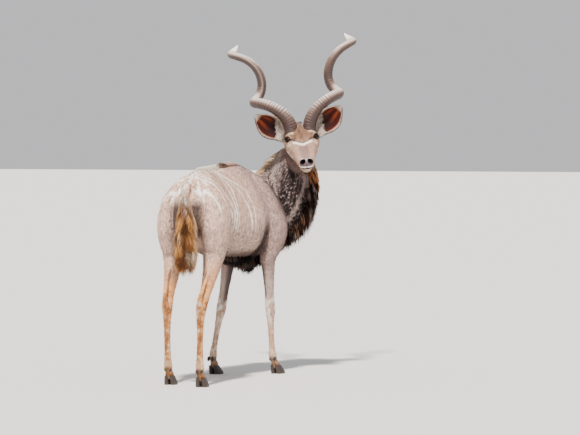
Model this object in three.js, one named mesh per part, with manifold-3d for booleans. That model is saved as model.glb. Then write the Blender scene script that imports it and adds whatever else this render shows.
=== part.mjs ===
// Greater kudu bull at life size, standing still and looking back over its right shoulder.
// Millimetres, +Z up, the body's front towards -Y and the animal's left side towards +X.
// Places on the animal are written as (right, forward, up) from the point under its tail.
import * as THREE from "three";
import { mergeVertices } from "three/addons/utils/BufferGeometryUtils.js";
import Module from "manifold-3d";

const wasm = await Module();
wasm.setup();

// Driving dimensions
const WITHERS = 1374; // height of the shoulder hump, without the crest of hair
const BACK = 1360; // height of the loin
const BELLY = 762; // height of the belly at the ribs
const TURN_START = 500; // the trunk is straight up to here, and then bends to the right
const TURN_END = 1350;
const TURN = THREE.MathUtils.degToRad(20);
const LEAN = 0.12; // how far the chest leans to the right of the withers, for each unit down
const CUT_HIND = 835; // height where the hind legs part from the torso
const CUT_FORE = 742;
const HOOF_HEIGHT = 58;
const GAP = 0.3; // between neighbouring nodes
const CENTRE = new THREE.Vector3(228.8, 912.4, 0); // moves the origin under the middle of the whole

const v3 = (x, y, z) => new THREE.Vector3(x, y, z);
const UP = v3(0, 0, 1);

// A place (right, forward, up) in the model's frame, and a direction likewise.
const at = (right, forward, up) => v3(-right, -forward, up).add(CENTRE);
const towards = (right, forward, up) => v3(-right, -forward, up).normalize();

// Where the bent trunk carries a point that is given for a straight one.
const BEND_RADIUS = (TURN_END - TURN_START) / TURN;
const turnAt = (forward) => Math.max(0, forward - TURN_START) / BEND_RADIUS;
function leanAt(forward, up) {
  const share = THREE.MathUtils.smoothstep(forward, TURN_START, 1100);
  return LEAN * share * (1300 - Math.max(up, 850));
}
function onTrunk(rightOfLine, forward, up) {
  const right = rightOfLine + leanAt(forward, up);
  const turn = turnAt(forward);
  const straight = Math.min(forward, TURN_START);
  const along = straight + Math.sin(turn) * BEND_RADIUS - right * Math.sin(turn);
  const aside = (1 - Math.cos(turn)) * BEND_RADIUS + right * Math.cos(turn);
  return at(aside, along, up);
}
function trunkTowards(right, forward, up, station) {
  const turn = turnAt(station);
  return towards(
    right * Math.cos(turn) + forward * Math.sin(turn),
    forward * Math.cos(turn) - right * Math.sin(turn),
    up,
  );
}

// Smooth curve through values v at knots s, read at x.
function through(s, v, x) {
  let i = 0;
  while (i < s.length - 2 && x > s[i + 1]) i++;
  const slope = (j) => {
    const a = Math.max(0, j - 1);
    const b = Math.min(s.length - 1, j + 1);
    return (v[b] - v[a]) / (s[b] - s[a]);
  };
  const h = s[i + 1] - s[i];
  const t = (x - s[i]) / h;
  const t2 = t * t;
  const t3 = t2 * t;
  return (
    (2 * t3 - 3 * t2 + 1) * v[i] +
    (t3 - 2 * t2 + t) * h * slope(i) +
    (3 * t2 - 2 * t3) * v[i + 1] +
    (t3 - t2) * h * slope(i + 1)
  );
}

// A closed solid from its points and triangles, turned so that it faces out.
function solid(points, triangles) {
  let volume = 0;
  for (const [a, b, c] of triangles) {
    volume += points[a].dot(points[b].clone().cross(points[c]));
  }
  const outward = volume < 0 ? triangles.map(([a, b, c]) => [a, c, b]) : triangles;
  return new wasm.Manifold(
    new wasm.Mesh({
      numProp: 3,
      vertProperties: new Float32Array(points.flatMap((p) => p.toArray())),
      triVerts: new Uint32Array(outward.flat()),
    }),
  );
}

// A station of a loft: its centre, the way its top points, its half width at the side, and how
// far it reaches above and below. Power 2 is an ellipse, more is squarer, less is sharper.
const station = (centre, up, side, top, bottom, topPower = 2, bottomPower = 2) => ({
  centre,
  up,
  sizes: [side, top, bottom, topPower, bottomPower],
});

// The rings of a loft, with a number of steps between each two stations. They stand square to the
// loft's own line, or to one given direction.
function ringsThrough(stations, steps, direction) {
  const knots = [0];
  for (let i = 1; i < stations.length; i++) {
    knots.push(knots[i - 1] + stations[i].centre.distanceTo(stations[i - 1].centre));
  }
  const count = (stations.length - 1) * steps;
  const rings = [];
  for (let i = 0; i <= count; i++) {
    const whole = Math.min(Math.floor(i / steps), stations.length - 2);
    const x = knots[whole] + (i / steps - whole) * (knots[whole + 1] - knots[whole]);
    const read = (pick) => through(knots, stations.map(pick), x);
    const vector = (key) =>
      v3(read((s) => s[key].x), read((s) => s[key].y), read((s) => s[key].z));
    rings.push({
      centre: vector("centre"),
      up: vector("up"),
      sizes: stations[0].sizes.map((_, k) => read((s) => s.sizes[k])),
    });
  }
  rings.forEach((ring, i) => {
    const before = rings[Math.max(0, i - 1)].centre;
    const after = rings[Math.min(rings.length - 1, i + 1)].centre;
    const along = direction ?? after.clone().sub(before).normalize();
    ring.side = along.clone().cross(ring.up).normalize();
    ring.up = ring.side.clone().cross(along).normalize();
  });
  return rings;
}

const signedPower = (x, power) => Math.sign(x) * Math.abs(x) ** power;

// The point of a ring at an angle from its side, towards its top.
function ringPoint(ring, angle, grow = 0) {
  const [side, top, bottom, topPower, bottomPower] = ring.sizes;
  const c = Math.cos(angle);
  const s = Math.sin(angle);
  const power = 2 / (s > 0 ? topPower : bottomPower);
  const reach = s > 0 ? top : bottom;
  return ring.centre
    .clone()
    .addScaledVector(ring.side, signedPower(c, power) * (side + grow))
    .addScaledVector(ring.up, signedPower(s, power) * (reach + grow));
}

// A closed tube of rings, capped at both ends. A grown tube is that much larger all over.
function tube(given, sides, grow = 0) {
  const rings = given.map((ring) => ({ ...ring, centre: ring.centre.clone() }));
  for (const [end, next] of [[0, 1], [rings.length - 1, rings.length - 2]]) {
    const away = given[end].centre.clone().sub(given[next].centre).normalize();
    rings[end].centre.addScaledVector(away, grow);
  }
  const points = [];
  const triangles = [];
  for (const ring of rings) {
    for (let k = 0; k < sides; k++) {
      points.push(ringPoint(ring, ((k + 0.5) / sides) * 2 * Math.PI, grow));
    }
  }
  for (let i = 0; i + 1 < rings.length; i++) {
    for (let k = 0; k < sides; k++) {
      const a = i * sides + k;
      const b = i * sides + ((k + 1) % sides);
      triangles.push([a, b, a + sides], [b, b + sides, a + sides]);
    }
  }
  for (const [row, turn] of [[0, 1], [rings.length - 1, -1]]) {
    const middle = points.length;
    points.push(rings[row].centre.clone());
    for (let k = 0; k < sides; k++) {
      const a = row * sides + k;
      const b = row * sides + ((k + 1) % sides);
      triangles.push(turn > 0 ? [middle, b, a] : [middle, a, b]);
    }
  }
  return solid(points, triangles);
}

const loft = (stations, { steps = 2, sides = 16, grow = 0, direction } = {}) =>
  tube(ringsThrough(stations, steps, direction), sides, grow);

const union = (solids) => wasm.Manifold.union(solids);

// Only the largest closed body of a solid.
function largest(made) {
  const bodies = made.decompose();
  return bodies.reduce((a, b) => (b.volume() > a.volume() ? b : a));
}

// A three.js geometry as a solid, moved by a matrix.
function solidFrom(geometry, matrix) {
  const bare = geometry.clone();
  for (const name of Object.keys(bare.attributes)) {
    if (name !== "position") bare.deleteAttribute(name);
  }
  bare.applyMatrix4(matrix);
  const merged = mergeVertices(bare, 1e-3);
  const position = merged.attributes.position;
  const points = [];
  for (let i = 0; i < position.count; i++) {
    points.push(v3().fromBufferAttribute(position, i));
  }
  const index = merged.index.array;
  const triangles = [];
  for (let i = 0; i < index.length; i += 3) {
    const corners = [index[i], index[i + 1], index[i + 2]];
    if (new Set(corners).size === 3) triangles.push(corners);
  }
  return solid(points, triangles);
}

// Torso

// forward, top, bottom, height of the widest line, half width, upper power, lower power
const TORSO = [
  [-12, 1165, 1030, 1100, 34, 2, 2],
  [10, 1222, 985, 1100, 74, 2, 2],
  [70, 1272, 915, 1085, 110, 1.8, 2],
  [180, 1325, 868, 1085, 142, 1.75, 2],
  [330, 1358, 846, 1085, 166, 1.7, 2.1],
  [500, BACK, 822, 1060, 182, 1.7, 2.2],
  [680, 1362, BELLY + 14, 1030, 206, 1.7, 2.2],
  [850, 1364, BELLY, 1010, 217, 1.65, 2.1],
  [980, 1372, BELLY - 6, 1010, 208, 1.55, 2],
  [1080, WITHERS, BELLY - 10, 1010, 190, 1.5, 1.9],
  [1180, 1352, 772, 1020, 168, 1.6, 1.8],
  [1270, 1305, 815, 1035, 142, 1.8, 1.8],
  [1340, 1225, 890, 1050, 104, 2, 2],
  [1382, 1140, 970, 1060, 46, 2, 2],
];
const torsoStations = TORSO.map(([forward, top, bottom, widest, side, upper, lower]) => {
  const up = onTrunk(0, forward, 1300).sub(onTrunk(0, forward, 900)).normalize();
  return station(
    onTrunk(0, forward, widest),
    up,
    side,
    top - widest,
    widest - bottom,
    upper,
    lower,
  );
});

// Neck

// right, forward, up of the centre, the way the crest points, half width, reach to crest and throat
const NECK = [
  [[95, 1130, 1105], [0, -0.35, 0.94], 150, 192, 250],
  [[145, 1235, 1095], [-0.2, -0.3, 0.93], 146, 196, 258],
  [[210, 1330, 1125], [-0.45, -0.18, 0.88], 134, 190, 236],
  [[272, 1400, 1205], [-0.72, 0, 0.66], 120, 170, 202],
  [[330, 1435, 1320], [-0.82, 0.1, 0.5], 108, 150, 164],
  [[370, 1430, 1425], [-0.8, 0.5, 0.3], 98, 128, 120],
  [[392, 1400, 1508], [-0.45, 0.87, 0.1], 62, 62, 64],
];
const neckStations = NECK.map(([centre, crest, side, top, bottom]) =>
  station(at(...centre), towards(...crest), side, top, bottom, 1.8, 1.9),
);

// Head. Its own axes: left, out of the forehead, and along the face from the poll to the nose.

const HEAD_TURN = THREE.MathUtils.degToRad(162); // of the face, to the right of the body's line
const HEAD_PITCH = THREE.MathUtils.degToRad(37); // of the face below the level
const HEAD_ROLL = THREE.MathUtils.degToRad(6.5); // left ear up
const EYE_MIDDLE = at(436, 1265, 1530); // the point between the eyes
const EYE = { left: 89, out: -20, along: 122, radius: 22 };

const facing = towards(Math.sin(HEAD_TURN), Math.cos(HEAD_TURN), 0);
const headUp = UP.clone().applyAxisAngle(facing, HEAD_ROLL);
const headLeft = headUp.clone().cross(facing);
const headAlong = facing.clone().applyAxisAngle(headLeft, HEAD_PITCH);
const headOut = headAlong.clone().cross(headLeft);
const headTowards = (left, out, along) =>
  v3()
    .addScaledVector(headLeft, left)
    .addScaledVector(headOut, out)
    .addScaledVector(headAlong, along);
const inHead = (left, out, along) =>
  EYE_MIDDLE.clone().add(headTowards(left, out + 34, along - EYE.along));

// along the face, height of the middle, half width, reach above and below, upper and lower power
const HEAD = [
  [-78, -108, 30, 24, 26, 2, 2],
  [-50, -98, 66, 58, 54, 2, 2],
  [0, -84, 96, 88, 86, 2.4, 2],
  [50, -74, 112, 86, 104, 2.6, 2.3],
  [88, -66, 118, 78, 116, 2.6, 2.4],
  [122, -60, 115, 68, 118, 2.5, 2.4],
  [165, -60, 102, 62, 108, 2.3, 2.4],
  [215, -60, 88, 56, 88, 2.2, 2.3],
  [270, -58, 74, 51, 60, 2.2, 2.3],
  [320, -53, 64, 48, 38, 2.3, 2.5],
  [350, -49, 60, 47, 30, 2.4, 2.6],
  [370, -47, 51, 42, 26, 2.3, 2.6],
  [386, -46, 30, 27, 17, 2, 2.2],
];
// The lower jaw, given in the same way.
const JAW = [
  [100, -112, 74, 26, 60, 2, 2.2],
  [170, -112, 70, 30, 56, 2, 2.2],
  [240, -105, 56, 28, 42, 2, 2.2],
  [310, -95, 45, 16, 31, 2.2, 2.2],
  [345, -91, 41, 15, 28, 2.4, 2.2],
  [362, -89, 34, 13, 23, 2.4, 2],
  [373, -88, 18, 8, 13, 2, 2],
];
const headStation = ([along, middle, side, top, bottom, upper, lower]) =>
  station(inHead(0, middle, along), headOut, side, top, bottom, upper, lower);
const headStations = HEAD.map(headStation);
const jawStations = JAW.map(headStation);

// Legs. Each runs down through its stations: right, forward, up, half width at the side, and how
// far it reaches in front and behind.

function legStations(rows, side, forwardAt, place) {
  const front = trunkTowards(0, 1, 0, forwardAt);
  return rows.map(([right, forward, up, width, before, behind]) =>
    station(place(side * right, forward, up), front, width, before, behind, 2, 2),
  );
}

// Hind leg, from the top of the haunch to the coronet, for a hoof this far forward and aside.
function hindLeg(hoofForward, hoofAside) {
  const lean = (up, forward) => forward + hoofForward * (1 - up / 1150);
  const spread = (up, right) => right + (hoofAside - 120) * (1 - up / 1150);
  const rows = [
    [52, 300, 1300, 30, 60, 60],
    [94, 272, 1225, 60, 128, 140],
    [126, 238, 1125, 84, 176, 192],
    [138, 205, 1020, 91, 190, 186],
    [140, 205, 920, 84, 172, 150],
    [136, 205, 830, 68, 122, 112],
    [134, 168, 735, 52, 74, 76],
    [130, 108, 640, 41, 52, 52],
    [126, 48, 565, 36, 42, 42],
    [122, 8, 505, 36, 42, 44],
    [120, -4, 440, 29, 32, 36],
    [120, -4, 350, 23, 25, 29],
    [120, 2, 240, 22, 23, 27],
    [120, 8, 160, 26, 26, 30],
    [120, 14, 122, 29, 30, 32],
    [120, 30, 88, 25, 25, 25],
    [120, 48, 62, 31, 34, 30],
    [120, 56, 44, 27, 30, 26],
  ];
  return rows.map(([r, f, u, ...sizes]) => [spread(u, r), lean(u, f), u, ...sizes]);
}

// The tendon behind the gaskin, out to the point of the hock.
function hockTendon(hoofForward, hoofAside) {
  const lean = (up, forward) => forward + hoofForward * (1 - up / 1150);
  const spread = (up, right) => right + (hoofAside - 120) * (1 - up / 1150);
  const rows = [
    [138, 112, 742, 12, 14, 14],
    [132, 40, 660, 14, 14, 14],
    [126, -24, 592, 16, 17, 15],
    [122, -44, 552, 19, 22, 18],
    [121, -36, 512, 18, 22, 17],
    [120, -16, 450, 12, 12, 12],
  ];
  return rows.map(([r, f, u, ...sizes]) => [spread(u, r), lean(u, f), u, ...sizes]);
}

// The shoulder blade and upper arm, a flat mass on the side of the chest.
const SHOULDER = [
  [40, 1090, 1322, 22, 40, 44],
  [84, 1118, 1248, 48, 90, 92],
  [114, 1164, 1150, 64, 124, 130],
  [134, 1205, 1045, 74, 132, 150],
  [144, 1206, 955, 74, 128, 146],
  [142, 1172, 875, 66, 110, 118],
  [134, 1132, 800, 58, 82, 88],
  [128, 1114, 728, 44, 56, 60],
];

// Foreleg from inside the upper arm to the coronet.
function foreLeg(hoofForward, hoofAside) {
  const lean = (up, forward) => forward + hoofForward * (1 - up / 900);
  const spread = (up, right) => right + (hoofAside - 125) * (1 - up / 900);
  const rows = [
    [130, 1118, 870, 36, 50, 60],
    [130, 1112, 800, 46, 56, 66],
    [128, 1110, 720, 43, 50, 54],
    [126, 1110, 620, 36, 41, 41],
    [125, 1110, 520, 31, 35, 34],
    [125, 1112, 455, 34, 36, 36],
    [125, 1112, 410, 33, 34, 36],
    [125, 1108, 365, 26, 26, 30],
    [125, 1106, 280, 21, 22, 26],
    [125, 1106, 185, 21, 22, 26],
    [125, 1108, 124, 28, 29, 31],
    [125, 1124, 88, 24, 24, 25],
    [125, 1142, 62, 30, 33, 29],
    [125, 1150, 44, 26, 29, 25],
  ];
  return rows.map(([r, f, u, ...sizes]) => [spread(u, r), lean(u, f), u, ...sizes]);
}

// Where each hoof stands: side +1 is the right, how far ahead of its place, and how far aside.
const FEET = {
  hind_right: { side: 1, hoofForward: -42, hoofAside: 97 },
  hind_left: { side: -1, hoofForward: 95, hoofAside: 144 },
  fore_right: { side: 1, hoofForward: 88, hoofAside: 134 },
  fore_left: { side: -1, hoofForward: -150, hoofAside: 205 },
};

function legSolids(name, grow) {
  const { side, hoofForward, hoofAside } = FEET[name];
  const options = { steps: 1, sides: 10, grow };
  if (name.startsWith("hind")) {
    return [
      loft(legStations(hindLeg(hoofForward, hoofAside), side, 200, at), options),
      loft(legStations(hockTendon(hoofForward, hoofAside), side, 200, at), {
        steps: 1,
        sides: 6,
        grow,
      }),
    ];
  }
  return [
    loft(legStations(SHOULDER, side, 1110, onTrunk), { steps: 1, sides: 12, grow }),
    loft(legStations(foreLeg(hoofForward, hoofAside), side, 1110, onTrunk), options),
  ];
}

// Tail: the dock and the brush of hair round it, which is widest below the middle.
const TAIL = [
  [[0, 66, 1256], 22, 20, 24],
  [[0, 24, 1250], 26, 24, 26],
  [[2, -16, 1212], 29, 24, 24],
  [[8, -34, 1140], 34, 24, 20],
  [[14, -44, 1060], 46, 26, 20],
  [[16, -50, 970], 54, 28, 22],
  [[15, -50, 880], 50, 26, 20],
  [[12, -47, 800], 34, 18, 14],
  [[10, -45, 738], 8, 7, 6],
];
const tailStations = TAIL.map(([centre, side, top, bottom]) =>
  station(at(...centre), towards(0, -1, 0.25), side, top, bottom),
);

// Standing hair. Each ridge runs over a body through places on its surface, and carries locks.

// The place on a body at a share of its length and an angle from its side towards its top.
function onBody(rings, share, angle) {
  const x = THREE.MathUtils.clamp(share, 0, 1) * (rings.length - 1);
  const i = Math.min(Math.floor(x), rings.length - 2);
  const [near, far] = [rings[i], rings[i + 1]];
  const point = ringPoint(near, angle).lerp(ringPoint(far, angle), x - i);
  const centre = near.centre.clone().lerp(far.centre, x - i);
  return {
    point,
    out: point.clone().sub(centre).normalize(),
    along: far.centre.clone().sub(near.centre).normalize(),
  };
}
const torsoRings = ringsThrough(torsoStations, 2);
const neckRings = ringsThrough(neckStations, 2);
const jawRings = ringsThrough(jawStations, 2);
const TOP = Math.PI / 2;
const BOTTOM = -Math.PI / 2;

// body, angle, then rows of the share along it, height of the hair and half width of the ridge
const RIDGES = {
  crest: [
    torsoRings,
    TOP,
    [[0.2, 6, 12], [0.3, 14, 14], [0.38, 22, 15], [0.46, 32, 17], [0.53, 40, 18], [0.61, 34, 17],
      [0.69, 20, 15], [0.77, 12, 15], [0.85, 12, 15]],
  ],
  mane: [
    neckRings,
    TOP,
    [[0.16, 14, 16], [0.3, 34, 18], [0.45, 56, 20], [0.6, 66, 20], [0.72, 62, 19], [0.84, 48, 17],
      [0.95, 24, 13]],
  ],
  beard: [
    neckRings,
    BOTTOM,
    [[0.02, 28, 18], [0.16, 62, 28], [0.3, 100, 36], [0.45, 116, 38], [0.6, 98, 35],
      [0.72, 72, 30], [0.84, 50, 24], [0.94, 34, 20]],
  ],
  chin: [
    jawRings,
    BOTTOM,
    [[0.1, 44, 22], [0.35, 40, 20], [0.6, 32, 16], [0.8, 18, 12], [0.92, 6, 8]],
  ],
  brisket: [
    torsoRings,
    BOTTOM,
    [[0.42, 14, 20], [0.52, 44, 30], [0.62, 86, 34], [0.72, 112, 36], [0.8, 98, 34], [0.9, 54, 30]],
  ],
};
const CORE = 0.5; // how far towards the tips of the hair the ridge is solid

function ridge([rings, angle, rows], grow) {
  const stations = rows.map(([share, height, half]) => {
    const { point, out } = onBody(rings, share, angle);
    const centre = point.clone().addScaledVector(out, -8);
    return station(centre, out, half + 6, height * CORE + 8, 24, 1.4, 2);
  });
  return loft(stations, { steps: 1, sides: 8, grow });
}
const ridges = (grow = 0) => Object.values(RIDGES).map((given) => ridge(given, grow));

// Numbers from 0 to 1 that are the same on every run.
function seeded(seed) {
  let state = seed;
  return () => {
    state = (state * 1664525 + 1013904223) % 4294967296;
    return state / 4294967296;
  };
}

// A flat tapering lock that leaves its root one way and bends another.
const LOCK_STEPS = [-0.25, 0.2, 0.66, 1];
const LOCK_WIDTHS = [0.85, 1, 0.72, 0.05];
function lock({ root, start, end, flat, length, width, thick }) {
  const place = (share) => {
    const bend = Math.max(0, share);
    return root
      .clone()
      .addScaledVector(start, length * (share - (bend * bend) / 2))
      .addScaledVector(end, (length * bend * bend) / 2);
  };
  const rings = LOCK_STEPS.map((share, i) => {
    const along = place(share + 0.05).sub(place(share - 0.05)).normalize();
    const up = flat.clone().addScaledVector(along, -flat.dot(along)).normalize();
    const half = (thick / 2) * Math.max(0.2, LOCK_WIDTHS[i]);
    return {
      centre: place(share),
      side: along.clone().cross(up).normalize(),
      up,
      sizes: [(width / 2) * LOCK_WIDTHS[i], half, half, 2, 2],
    };
  });
  return tube(rings, 3);
}

// ridge, how many locks, shares of its body they run between, how far round the ridge they
// spread, how far they lie back, how far they hang down, width
const LOCKS = [
  ["crest", 26, [0.17, 0.9], 0.05, 1.9, 0, 44],
  ["mane", 22, [0.16, 0.98], 0.16, 0.6, 0, 46],
  ["beard", 36, [0.02, 0.97], 0.34, 0.7, 1.1, 50],
  ["chin", 7, [0.12, 0.9], 0.3, 0.9, 0.5, 34],
  ["brisket", 12, [0.5, 0.86], 0.2, 0.3, 0.4, 52],
];
const hairHeight = (rows, share) =>
  through(rows.map((row) => row[0]), rows.map((row) => row[1]), share);

function ridgeLocks([name, count, [first, last], spread, lean, hang, width]) {
  const [rings, middle, rows] = RIDGES[name];
  const random = seeded(name.length * 7919 + count);
  const made = [];
  for (let i = 0; i < count; i++) {
    const share = first + ((last - first) * (i + random() * 0.6)) / count;
    const place = ((i % 3) - 1) * 0.8 + (random() - 0.5) * 0.5;
    const { point, out, along } = onBody(rings, share, middle + spread * place);
    const shorter = 1 - 0.25 * Math.abs(place);
    const height = Math.max(16, hairHeight(rows, share)) * (0.8 + random() * 0.35) * shorter;
    const across = out.clone().cross(along).normalize();
    const start = out
      .clone()
      .addScaledVector(along, -lean * (0.7 + random() * 0.5))
      .addScaledVector(across, (random() - 0.5) * 0.3)
      .normalize();
    const end = start
      .clone()
      .addScaledVector(UP, -hang)
      .addScaledVector(along, -0.5 - random() * 0.3)
      .addScaledVector(across, (random() - 0.5) * 0.5)
      .normalize();
    const reach = start.clone().add(end).multiplyScalar(0.5).dot(out);
    made.push(
      lock({
        root: point.clone().addScaledVector(out, -4),
        start,
        end,
        flat: across.clone().addScaledVector(out, (random() - 0.5) * 0.6),
        length: Math.min(190, (height + 4) / Math.max(0.4, reach)),
        width: width * (0.75 + random() * 0.5),
        thick: 13 + random() * 4,
      }),
    );
  }
  return made;
}

// The brush of the tail: locks that hang round its core from near the root to the tip.
function tailLocks(rings) {
  const random = seeded(4242);
  const made = [];
  const count = 26;
  for (let i = 0; i < count; i++) {
    const share = 0.3 + 0.58 * (i / count) ** 0.9;
    const angle = i * 2.4 + random() * 0.5;
    const { point, out, along } = onBody(rings, share, angle);
    const start = along.clone().addScaledVector(out, 0.45 + random() * 0.2).normalize();
    const end = along.clone().addScaledVector(out, -0.1 + random() * 0.2).normalize();
    made.push(
      lock({
        root: point.clone().addScaledVector(out, -6),
        start,
        end,
        flat: out,
        length: 128 + random() * 40 - share * 30,
        width: 46 + random() * 14,
        thick: 12 + random() * 4,
      }),
    );
  }
  return made;
}

// Short ruffled hair on the poll between the horns.
function pollLocks() {
  const random = seeded(77);
  const made = [];
  for (let i = 0; i < 5; i++) {
    const left = (i - 2) * 14 + (random() - 0.5) * 8;
    const place = inHead(left, 0 + random() * 6, 6 + (i % 3) * 16);
    const start = headTowards((random() - 0.5) * 0.6, 0.8, 0.5 + random() * 0.3).normalize();
    made.push(
      lock({
        root: place,
        start,
        end: headTowards(0, 0.1, 1).normalize(),
        flat: headOut,
        length: 44 + random() * 16,
        width: 24,
        thick: 9,
      }),
    );
  }
  return made;
}

// The whole flesh, before it is parted into nodes.
function flesh(grow = 0) {
  return union([
    loft(torsoStations, { steps: 2, sides: 18, grow }),
    loft(neckStations, { steps: 2, sides: 16, grow }),
    loft(headStations, { steps: 1, sides: 22, grow }),
    loft(jawStations, { steps: 1, sides: 12, grow }),
    ...Object.keys(FEET).flatMap((name) => legSolids(name, grow)),
    ...ridges(grow),
  ]);
}

// A block whose corner-to-corner places are given along three directions from an origin.
function block(origin, axes, low, high, grow = 0) {
  const size = high.map((value, k) => value - low[k] + 2 * grow);
  const middle = origin.clone();
  axes.forEach((axis, k) => middle.addScaledVector(axis, (high[k] + low[k]) / 2));
  const frame = new THREE.Matrix4().makeBasis(...axes).setPosition(middle);
  return solidFrom(new THREE.BoxGeometry(...size), frame);
}

// An ellipsoid with its three half sizes along three directions.
function ellipsoid(centre, axes, sizes, rows = 8, columns = 12) {
  const frame = new THREE.Matrix4().makeBasis(...axes).setPosition(centre);
  frame.scale(v3(...sizes));
  return solidFrom(new THREE.SphereGeometry(1, columns, rows), frame);
}

const WORLD = [v3(1, 0, 0), v3(0, 1, 0), v3(0, 0, 1)];
const HEAD_AXES = [headLeft, headOut, headAlong];

// Regions that part the flesh: the head in front of a plane from the poll to the throat, the
// neck beyond its base, and each leg below a level.
const pollPoint = inHead(0, -60, -80);
const throatPoint = inHead(0, -178, 62);
const throatWay = throatPoint.clone().sub(pollPoint).normalize();
const headWay = throatWay.clone().cross(headLeft).normalize();
const headRegion = (grow) =>
  union([
    block(pollPoint, [headLeft, throatWay, headWay], [-170, -180, 0], [170, 205, 620], grow),
    block(inHead(0, 0, 0), HEAD_AXES, [-150, -235, 128], [150, 90, 470], grow),
  ]);

const neckBase = at(158, 1292, 1120);
const neckWay = towards(0.5, 0.72, 0.48);
const neckSide = neckWay.clone().cross(UP).normalize();
const neckRise = neckSide.clone().cross(neckWay).normalize();
const neckRegion = (grow) =>
  block(neckBase, [neckSide, neckRise, neckWay], [-400, -500, 0], [400, 500, 700], grow);

const LEG_AXES = [v3(-1, 0, 0), v3(0, -1, 0), UP]; // right, forward, up
const LEG_REGIONS = {
  hind_right: [[6, -200], [320, 470]],
  hind_left: [[-320, -200], [-6, 520]],
  fore_right: [[190, 860], [480, 1420]],
  fore_left: [[-260, 860], [66, 1420]],
};
function legRegion(name, grow) {
  const [low, high] = LEG_REGIONS[name];
  const top = name.startsWith("hind") ? CUT_HIND : CUT_FORE;
  const bottom = grow ? -50 : HOOF_HEIGHT + GAP;
  return block(CENTRE, LEG_AXES, [...low, bottom], [...high, top], grow);
}

// Horns. Each coils round an axis that leans back from the brow: degrees of the coil from its
// inner side through the front, how far aside the axis is, how far along it, the radius of the
// coil, and the thickness of the horn.
const HORN_LEAN = THREE.MathUtils.degToRad(50);
const HORN = [
  [-14, 142, -24, 84, 88],
  [0, 147, 0, 85, 86],
  [45, 156, 60, 86, 78],
  [90, 166, 122, 85, 71],
  [180, 190, 250, 82, 67],
  [270, 240, 362, 74, 65],
  [360, 284, 468, 68, 61],
  [450, 306, 576, 66, 54],
  [540, 334, 684, 59, 46],
  [600, 350, 746, 50, 42],
  [650, 354, 792, 36, 9],
];
// The left horn spreads a little wider than the right one.
const HORN_SPREAD = { 1: 0.085, [-1]: -0.032 };
const HORN_BASE = { up: 80, back: 48 };
const hornDegrees = HORN.map((row) => row[0]);
const hornValue = (column, degrees) =>
  through(hornDegrees, HORN.map((row) => row[column]), degrees);

const back = facing.clone().negate();
const fromEyes = (left, up, behind) =>
  EYE_MIDDLE.clone()
    .addScaledVector(headLeft, left)
    .addScaledVector(headUp, up)
    .addScaledVector(back, behind);

function hornCentre(side, degrees) {
  const [aside, along, radius] = [1, 2, 3].map((column) => hornValue(column, degrees));
  const phase = THREE.MathUtils.degToRad(degrees);
  const forward = radius * Math.sin(phase);
  return fromEyes(
    side * (aside + HORN_SPREAD[side] * along - radius * Math.cos(phase)),
    HORN_BASE.up + along * Math.sin(HORN_LEAN) + forward * Math.cos(HORN_LEAN),
    HORN_BASE.back + along * Math.cos(HORN_LEAN) - forward * Math.sin(HORN_LEAN),
  );
}

function horn(side, grow = 0) {
  const count = 42;
  const rings = [];
  let keel = fromEyes(0, -1, 0).sub(EYE_MIDDLE);
  for (let i = 0; i <= count; i++) {
    const degrees = -14 + (664 * i) / count;
    const centre = hornCentre(side, degrees);
    const along = hornCentre(side, degrees + 1)
      .sub(hornCentre(side, degrees - 1))
      .normalize();
    keel = keel.clone().addScaledVector(along, -keel.dot(along)).normalize();
    const fade = THREE.MathUtils.smoothstep(degrees, 330, 430);
    const ridge = 1 + (i % 2 ? 0.045 : -0.03) * (1 - fade);
    const half = (hornValue(4, degrees) / 2) * ridge;
    rings.push({
      centre,
      side: along.clone().cross(keel).normalize(),
      up: keel,
      sizes: [half * 0.96, half * 1.12, half * 0.98, 1.6, 2],
    });
  }
  return tube(rings, 9, grow);
}

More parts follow.
